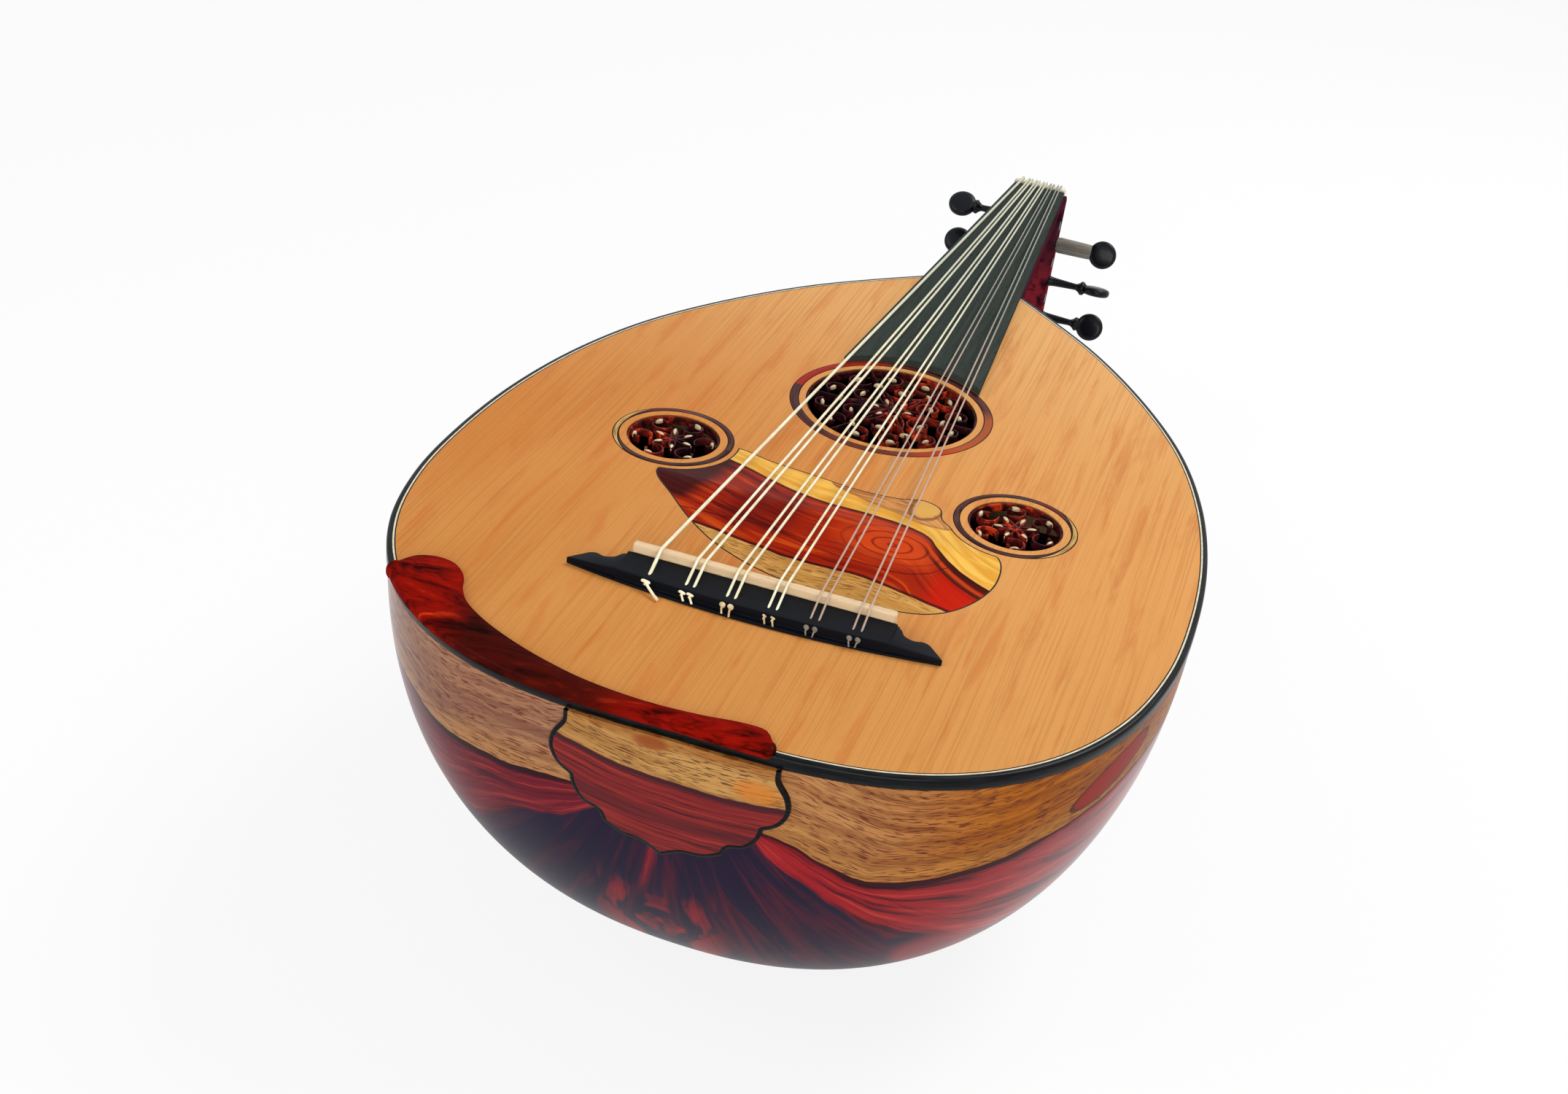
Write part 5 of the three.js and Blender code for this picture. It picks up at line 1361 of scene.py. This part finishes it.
def make_knots():
    """How each string is tied behind the bridge: a turn across it or a bead, and a loose end."""
    for index, (wide, across, down, bead) in enumerate(KNOTS):
        x = string_x(index, SADDLE)
        middle = (x, bridge_back(x) - bead * 0.7, KNOT_LEVEL)
        turn = [(-wide, 0, 0.9), (-wide * 0.3, -0.2, 1.1), (wide * 0.5, -0.2, 0.7), (wide, 0, 0.4)]
        turn = middle + smooth_curve(turn, 5)
        ahead = np.linspace(-0.98, 0.98, len(turn))
        radii = bead * np.sqrt(1 - np.abs(ahead) ** (2 * wide / bead))
        drop = middle + smooth_curve([
            (0, -bead * 0.5, 0.7), (across * 0.25, -bead - down * 0.2, -0.4),
            (across * 0.7, -bead - down * 0.7, -1.75), (across, -bead - down, -2.35),
        ], 6)
        look = "wound" if index < 3 else "seed" if index < WOUND_STRINGS else "grey_peg"
        part = joined([tube(turn, radii, 12), tube(drop, STRING_DIAMETERS[index] * 0.38)])
        piece(f"string_{index + 1}_knot", part, look, crease=60)


# Neck and pegbox

def mitre_corner():
    """Where the neck's underside meets the pegbox's back."""
    along = (NECK_DEPTH_AT_NUT + in_box(0, -PEGBOX.back[0])[1]) / sin(BEND)
    return in_box(along, -taper(PEGBOX.back, along))


def neck_part():
    joint_depth = RIB_TOP + DEPTH_PER_WIDTH * fingerboard_half(BODY_LENGTH)
    start = BODY_LENGTH + SEAM
    corner = mitre_corner()
    angles = np.linspace(0, pi, 41)
    cosine, sine = np.cos(angles), np.clip(np.sin(angles), 0, 1)

    def section(y):
        share = (y - start) / (NECK_END + NECK_DEPTH_AT_NUT - start)
        half = fingerboard_half(np.minimum(y, NECK_END)) + SEAM * 2
        depth = joint_depth + (NECK_DEPTH_AT_NUT - joint_depth) * np.clip(share * 1.1, 0, 1)
        power = 2 / (BOWL_SECTION_POWER + share)
        return half * np.sign(cosine) * np.abs(cosine) ** power, -depth * sine ** power

    end = np.full(len(angles), NECK_END)
    for _ in range(6):
        end = NECK_END + (corner[0] - NECK_END) * section(end)[1] / corner[1]
    rings = []
    for y in np.linspace(np.full(len(angles), start), end, 24):
        x, z = section(y)
        rings.append(np.column_stack([x, y, z]))
    return loft(rings)


def fingerboard_part():
    """A plate that ends in the main rose's ring."""
    reach = MAIN_ROSE.ring[1]
    spread = asin(fingerboard_half(MAIN_ROSE.y + reach * FINGERBOARD.ring_share) / reach)
    end = arc(0, MAIN_ROSE.y, reach, pi / 2 - spread, pi / 2 + spread, 40)
    half, top = FINGERBOARD.half_at_nut, NUT.place - SEAM
    right = np.linspace((half, top), end[0], 12, endpoint=False)
    left = np.linspace(end[-1], (-half, top), 12)[1:]
    top_level = SEAM + FINGERBOARD.thickness
    return plate([np.vstack([right, end, left])], SEAM, top_level, FINGERBOARD.soft, 4)


def cheek_part(side):
    """A cheek, cut as a flat plate with the pegs' holes, and then stood up at the box's taper."""
    corner = mitre_corner()
    run = unit(np.array([NECK_END, 0]) - corner)
    away = np.array([run[1], -run[0]]) * SEAM
    down = np.linspace(PEGBOX.front_start, PEGBOX.length, 30)
    up = np.linspace(PEGBOX.length, PEGBOX.back_start, 30)
    front = [in_box(along, taper(PEGBOX.front, along)) for along in down]
    back = [in_box(along, -taper(PEGBOX.back, along)) for along in up]
    top = np.array([NECK_END, 0]) + away - run * PEGBOX.soft
    nose = smooth_curve([top, in_box(*PEGBOX.nose), front[0]], 6)
    loop = np.vstack([nose[:-1], front, back, [corner + away]])
    holes = []
    for peg in range(PEG_COUNT):
        half = box_half(peg_place(peg))
        radius = shaft_radius(peg_side(peg) * side * (half - PEGBOX.cheek / 2), half)
        holes.append(circle(*in_box(peg_place(peg), 0), radius + PEGBOX.hole_play, 28))
    points, faces = plate([loop, *holes], 0, PEGBOX.cheek, PEGBOX.soft)
    flat, thick = points[:, :2], points[:, 2]
    return np.column_stack([side * (box_half(down_box(flat)) - PEGBOX.cheek + thick), flat]), faces


def box_ring(along, half, front, back, rounding=1.2):
    """A ring round the pegbox with rounded corners."""
    return [(x, *in_box(along, out)) for x, out in rounded((-half, -back), (half, front), rounding)]


def floor_part():
    first = down_box(mitre_corner()) + SEAM * 2
    rings = []
    for along in np.linspace(first, PEGBOX.length - FINIAL.plug - SEAM, 20):
        half = box_half(along) - PEGBOX.cheek - 0.05
        low = -taper(PEGBOX.back, along)
        high = low + PEGBOX.floor
        corners = ((-half, low), (half, low), (half, high), (-half, high))
        rings.append([(x, *in_box(along, out)) for x, out in corners])
    return loft(rings)


def finial_part():
    """The block in the pegbox's end, with a grooved collar and a domed tip outside."""
    half, front, back = PEGBOX.half_tip, PEGBOX.front[1], PEGBOX.back[1]
    end = PEGBOX.length + SEAM
    plug = loft([
        box_ring(along, half - PEGBOX.cheek - SEAM, front - SEAM, back - SEAM, 0.4)
        for along in (PEGBOX.length - FINIAL.plug, end + SEAM)
    ])
    steps = [(0, 0), (FINIAL.collar, 0), (FINIAL.collar + FINIAL.groove, FINIAL.groove_depth),
             (FINIAL.collar + 2 * FINIAL.groove, 0)]
    for a in np.linspace(0, pi / 2, 7):
        steps.append((FINIAL.dome_start + FINIAL.dome * sin(a), FINIAL.dome * (1 - cos(a))))
    rings = [box_ring(end + along, half - pull, front - pull, back - pull) for along, pull in steps]
    return joined([plug, loft(rings)])


def shaft_profile(half):
    """A peg's shaft and the turned collar below its head, from end to head, as (place, radius)."""
    start, neck, collar, length = HEAD_START, PEG.neck_radius, PEG.collar_radius, PEG.collar_length
    end = -(half + 0.4)
    return [
        (end, 2.6), (end + 0.2, 3.0), (end + 0.5, 3.3), (half, 3.7), (half + 1.2, 3.72),
        (half + 2, 3.4), (half + 5, 3.0), (start - length - 2.5, neck), (start - length - 1.2, neck + 0.1),
        (start - length, neck + 0.8), (start - length * 0.7, collar * 0.75),
        (start - length * 0.4, collar * 0.98), (start - 1, collar), (start + 0.6, collar * 0.93),
        (start + 1.6, collar * 0.7), (start + 3.4, collar * 0.55), (start + 5, 1.6),
    ]


def peg_part(number):
    profile = PEG_FACE_SHARES + [(-place, radius) for place, radius in PEG_FACE_SHARES[-2::-1]]
    half_thick = PEG.head_thickness / 2
    points, faces = turned([(a * half_thick, r * PEG.head_radius) for a, r in profile], 40)
    disc = points[:, (1, 0, 2)] + (PEG.head_place, 0, 0)
    points, faces = joined([turned(shaft_profile(box_half(peg_place(number)))), (disc, faces)])
    turn = Matrix.Rotation(2 * pi * PEG_TURN_SHARES[number], 3, "X")
    side = peg_side(number)
    return at_peg(number, points @ np.array(turn).T * (side, side, 1)), faces


def sleeve_part():
    """The grey sleeve on the second peg's shaft."""
    half, end = box_half(peg_place(1)), HEAD_START
    points, faces = turned([
        (half + 0.6, 4.0), (half + 0.8, 5.0), (half + 3, 5.5),
        (end - 2, 5.2), (end + 1, 5.0), (end + 1.6, 4.4),
    ])
    return at_peg(1, points), faces


def make_neck():
    piece("neck_shaft", neck_part(), "neck", "neck")
    piece("fingerboard_face", fingerboard_part(), "board", "fingerboard", level=True)
    y, z = (NUT.place, NECK_END), (SEAM, NUT.height + NUT.crown)
    piece("nut_bar", softened_block((-NUT.half, NUT.half), y, z, NUT.soft), "bone", "nut")
    for name, side in SIDES:
        piece(f"cheek_{name}", cheek_part(side), "neck", f"pegbox_cheek_{name}")
    piece("box_floor", floor_part(), "neck", "pegbox_floor")
    piece("finial", finial_part(), "peg", "pegbox_finial")
    for number in range(PEG_COUNT):
        name = f"peg_{number + 1}"
        piece(f"{name}_turned", peg_part(number), "peg", name, body=name)
    piece("peg_2_sleeve", sleeve_part(), "grey_peg", body="peg_2")


def dress_inside():
    """The blocks and braces keep their CAD shapes."""
    for name in ("tail_block", "neck_block", *(f"brace_{n}" for n in range(1, 6))):
        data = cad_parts[name].data
        data.materials.clear()
        data.materials.append(LOOKS["spruce"])


# Stage, light and camera. The camera's place and axes are in the part's own frame.

CAMERA_PLACE = (197.92, -612.93, 470.66)
CAMERA_AXES = ((0.9492, 0.2872, 0.1287), (-0.2553, 0.4639, 0.8483), (0.1839, -0.8381, 0.5136))
LENS = 45.72
LENS_SHIFT = (-0.0458, 0.0109)
FLOOR_HALF = 6

# Each lamp's name, place, size, power and tint

LIGHTS = [
    ("key", (0.9, 0.9, 2.0), (1.4, 1.0), 34, (1, 0.98, 0.95)),
    ("fill", (-1.6, -1.2, 1.6), (1.2, 1.2), 12, (1, 0.98, 0.96)),
    ("front", (0.5, -2.2, 0.7), (1.8, 1.0), 30, (1, 0.97, 0.94)),
]


def make_camera():
    data = bpy.data.cameras.new("camera")
    data.lens = LENS
    data.shift_x, data.shift_y = LENS_SHIFT
    data.clip_end = 20
    camera = put("camera", data)
    place = Matrix.Translation(Vector(np.array(CAMERA_PLACE) / 1000 + ORIGIN))
    camera.matrix_world = place @ Matrix(CAMERA_AXES).transposed().to_4x4()
    bpy.context.scene.camera = camera


def seen_white(look, share=1):
    """share where a camera, a mirror or glass looks at it, and 0 for the light that it gives."""
    camera, glossy, clear = (
        look.node("LightPath", {}, f"Is {kind} Ray") for kind in ("Camera", "Glossy", "Transmission")
    )
    return camera.max(glossy).max(clear) * share


def make_floor():
    look, x, y, _ = start_look("floor")
    dust = noise(x, y, scale=0.004, detail=3)
    base = mix(seen_white(look), mix(dust, (176, 178, 182), (182, 183, 186)), (252, 252, 252))
    matt = look.node("BsdfDiffuse", {"Color": base})
    glow = look.node("Emission", {"Color": (255, 255, 255), "Strength": 1})
    surface = look.node("MixShader", {0: seen_white(look, 0.86), 1: matt, 2: glow})
    look.node("OutputMaterial", {"Surface": surface})
    data = bpy.data.meshes.new("floor")
    corners = [(x * FLOOR_HALF, y * FLOOR_HALF, 0) for x, y in ((-1, -1), (1, -1), (1, 1), (-1, 1))]
    data.from_pydata(corners, [], [(0, 1, 2, 3)])
    data.materials.append(look.owner)
    floor = put("floor", data)


def make_world():
    world = bpy.data.worlds.new("world")
    look = Look(world)
    dim = look.node("Background", {"Color": (236, 241, 250), "Strength": 0.36})
    white = look.node("Background", {"Color": (255, 255, 255), "Strength": 0.96})
    surface = look.node("MixShader", {0: seen_white(look), 1: dim, 2: white})
    look.node("OutputWorld", {"Surface": surface})
    bpy.context.scene.world = world


def add_light(name, place, size, power, tint):
    """A soft rectangular lamp that faces the middle of the oud."""
    data = bpy.data.lights.new(name, "AREA")
    data.shape = "RECTANGLE"
    data.size, data.size_y = size
    data.energy = power
    data.color = tint
    light = put(name, data)
    light.location = place
    light.rotation_mode = "QUATERNION"
    light.rotation_quaternion = (Vector((0, 0, 0.1)) - Vector(place)).to_track_quat("-Z", "Y")


make_bowl()
make_tail()
make_soundboard()
make_roses()
piece("arm_guard_polished", arm_guard_part(), "arm", "arm_guard", crease=50)
make_bridge()
make_strings()
make_knots()
make_neck()
dress_inside()
make_camera()
make_floor()
make_world()
for light in LIGHTS:
    add_light(*light)
bpy.context.scene.view_settings.view_transform = "Standard"
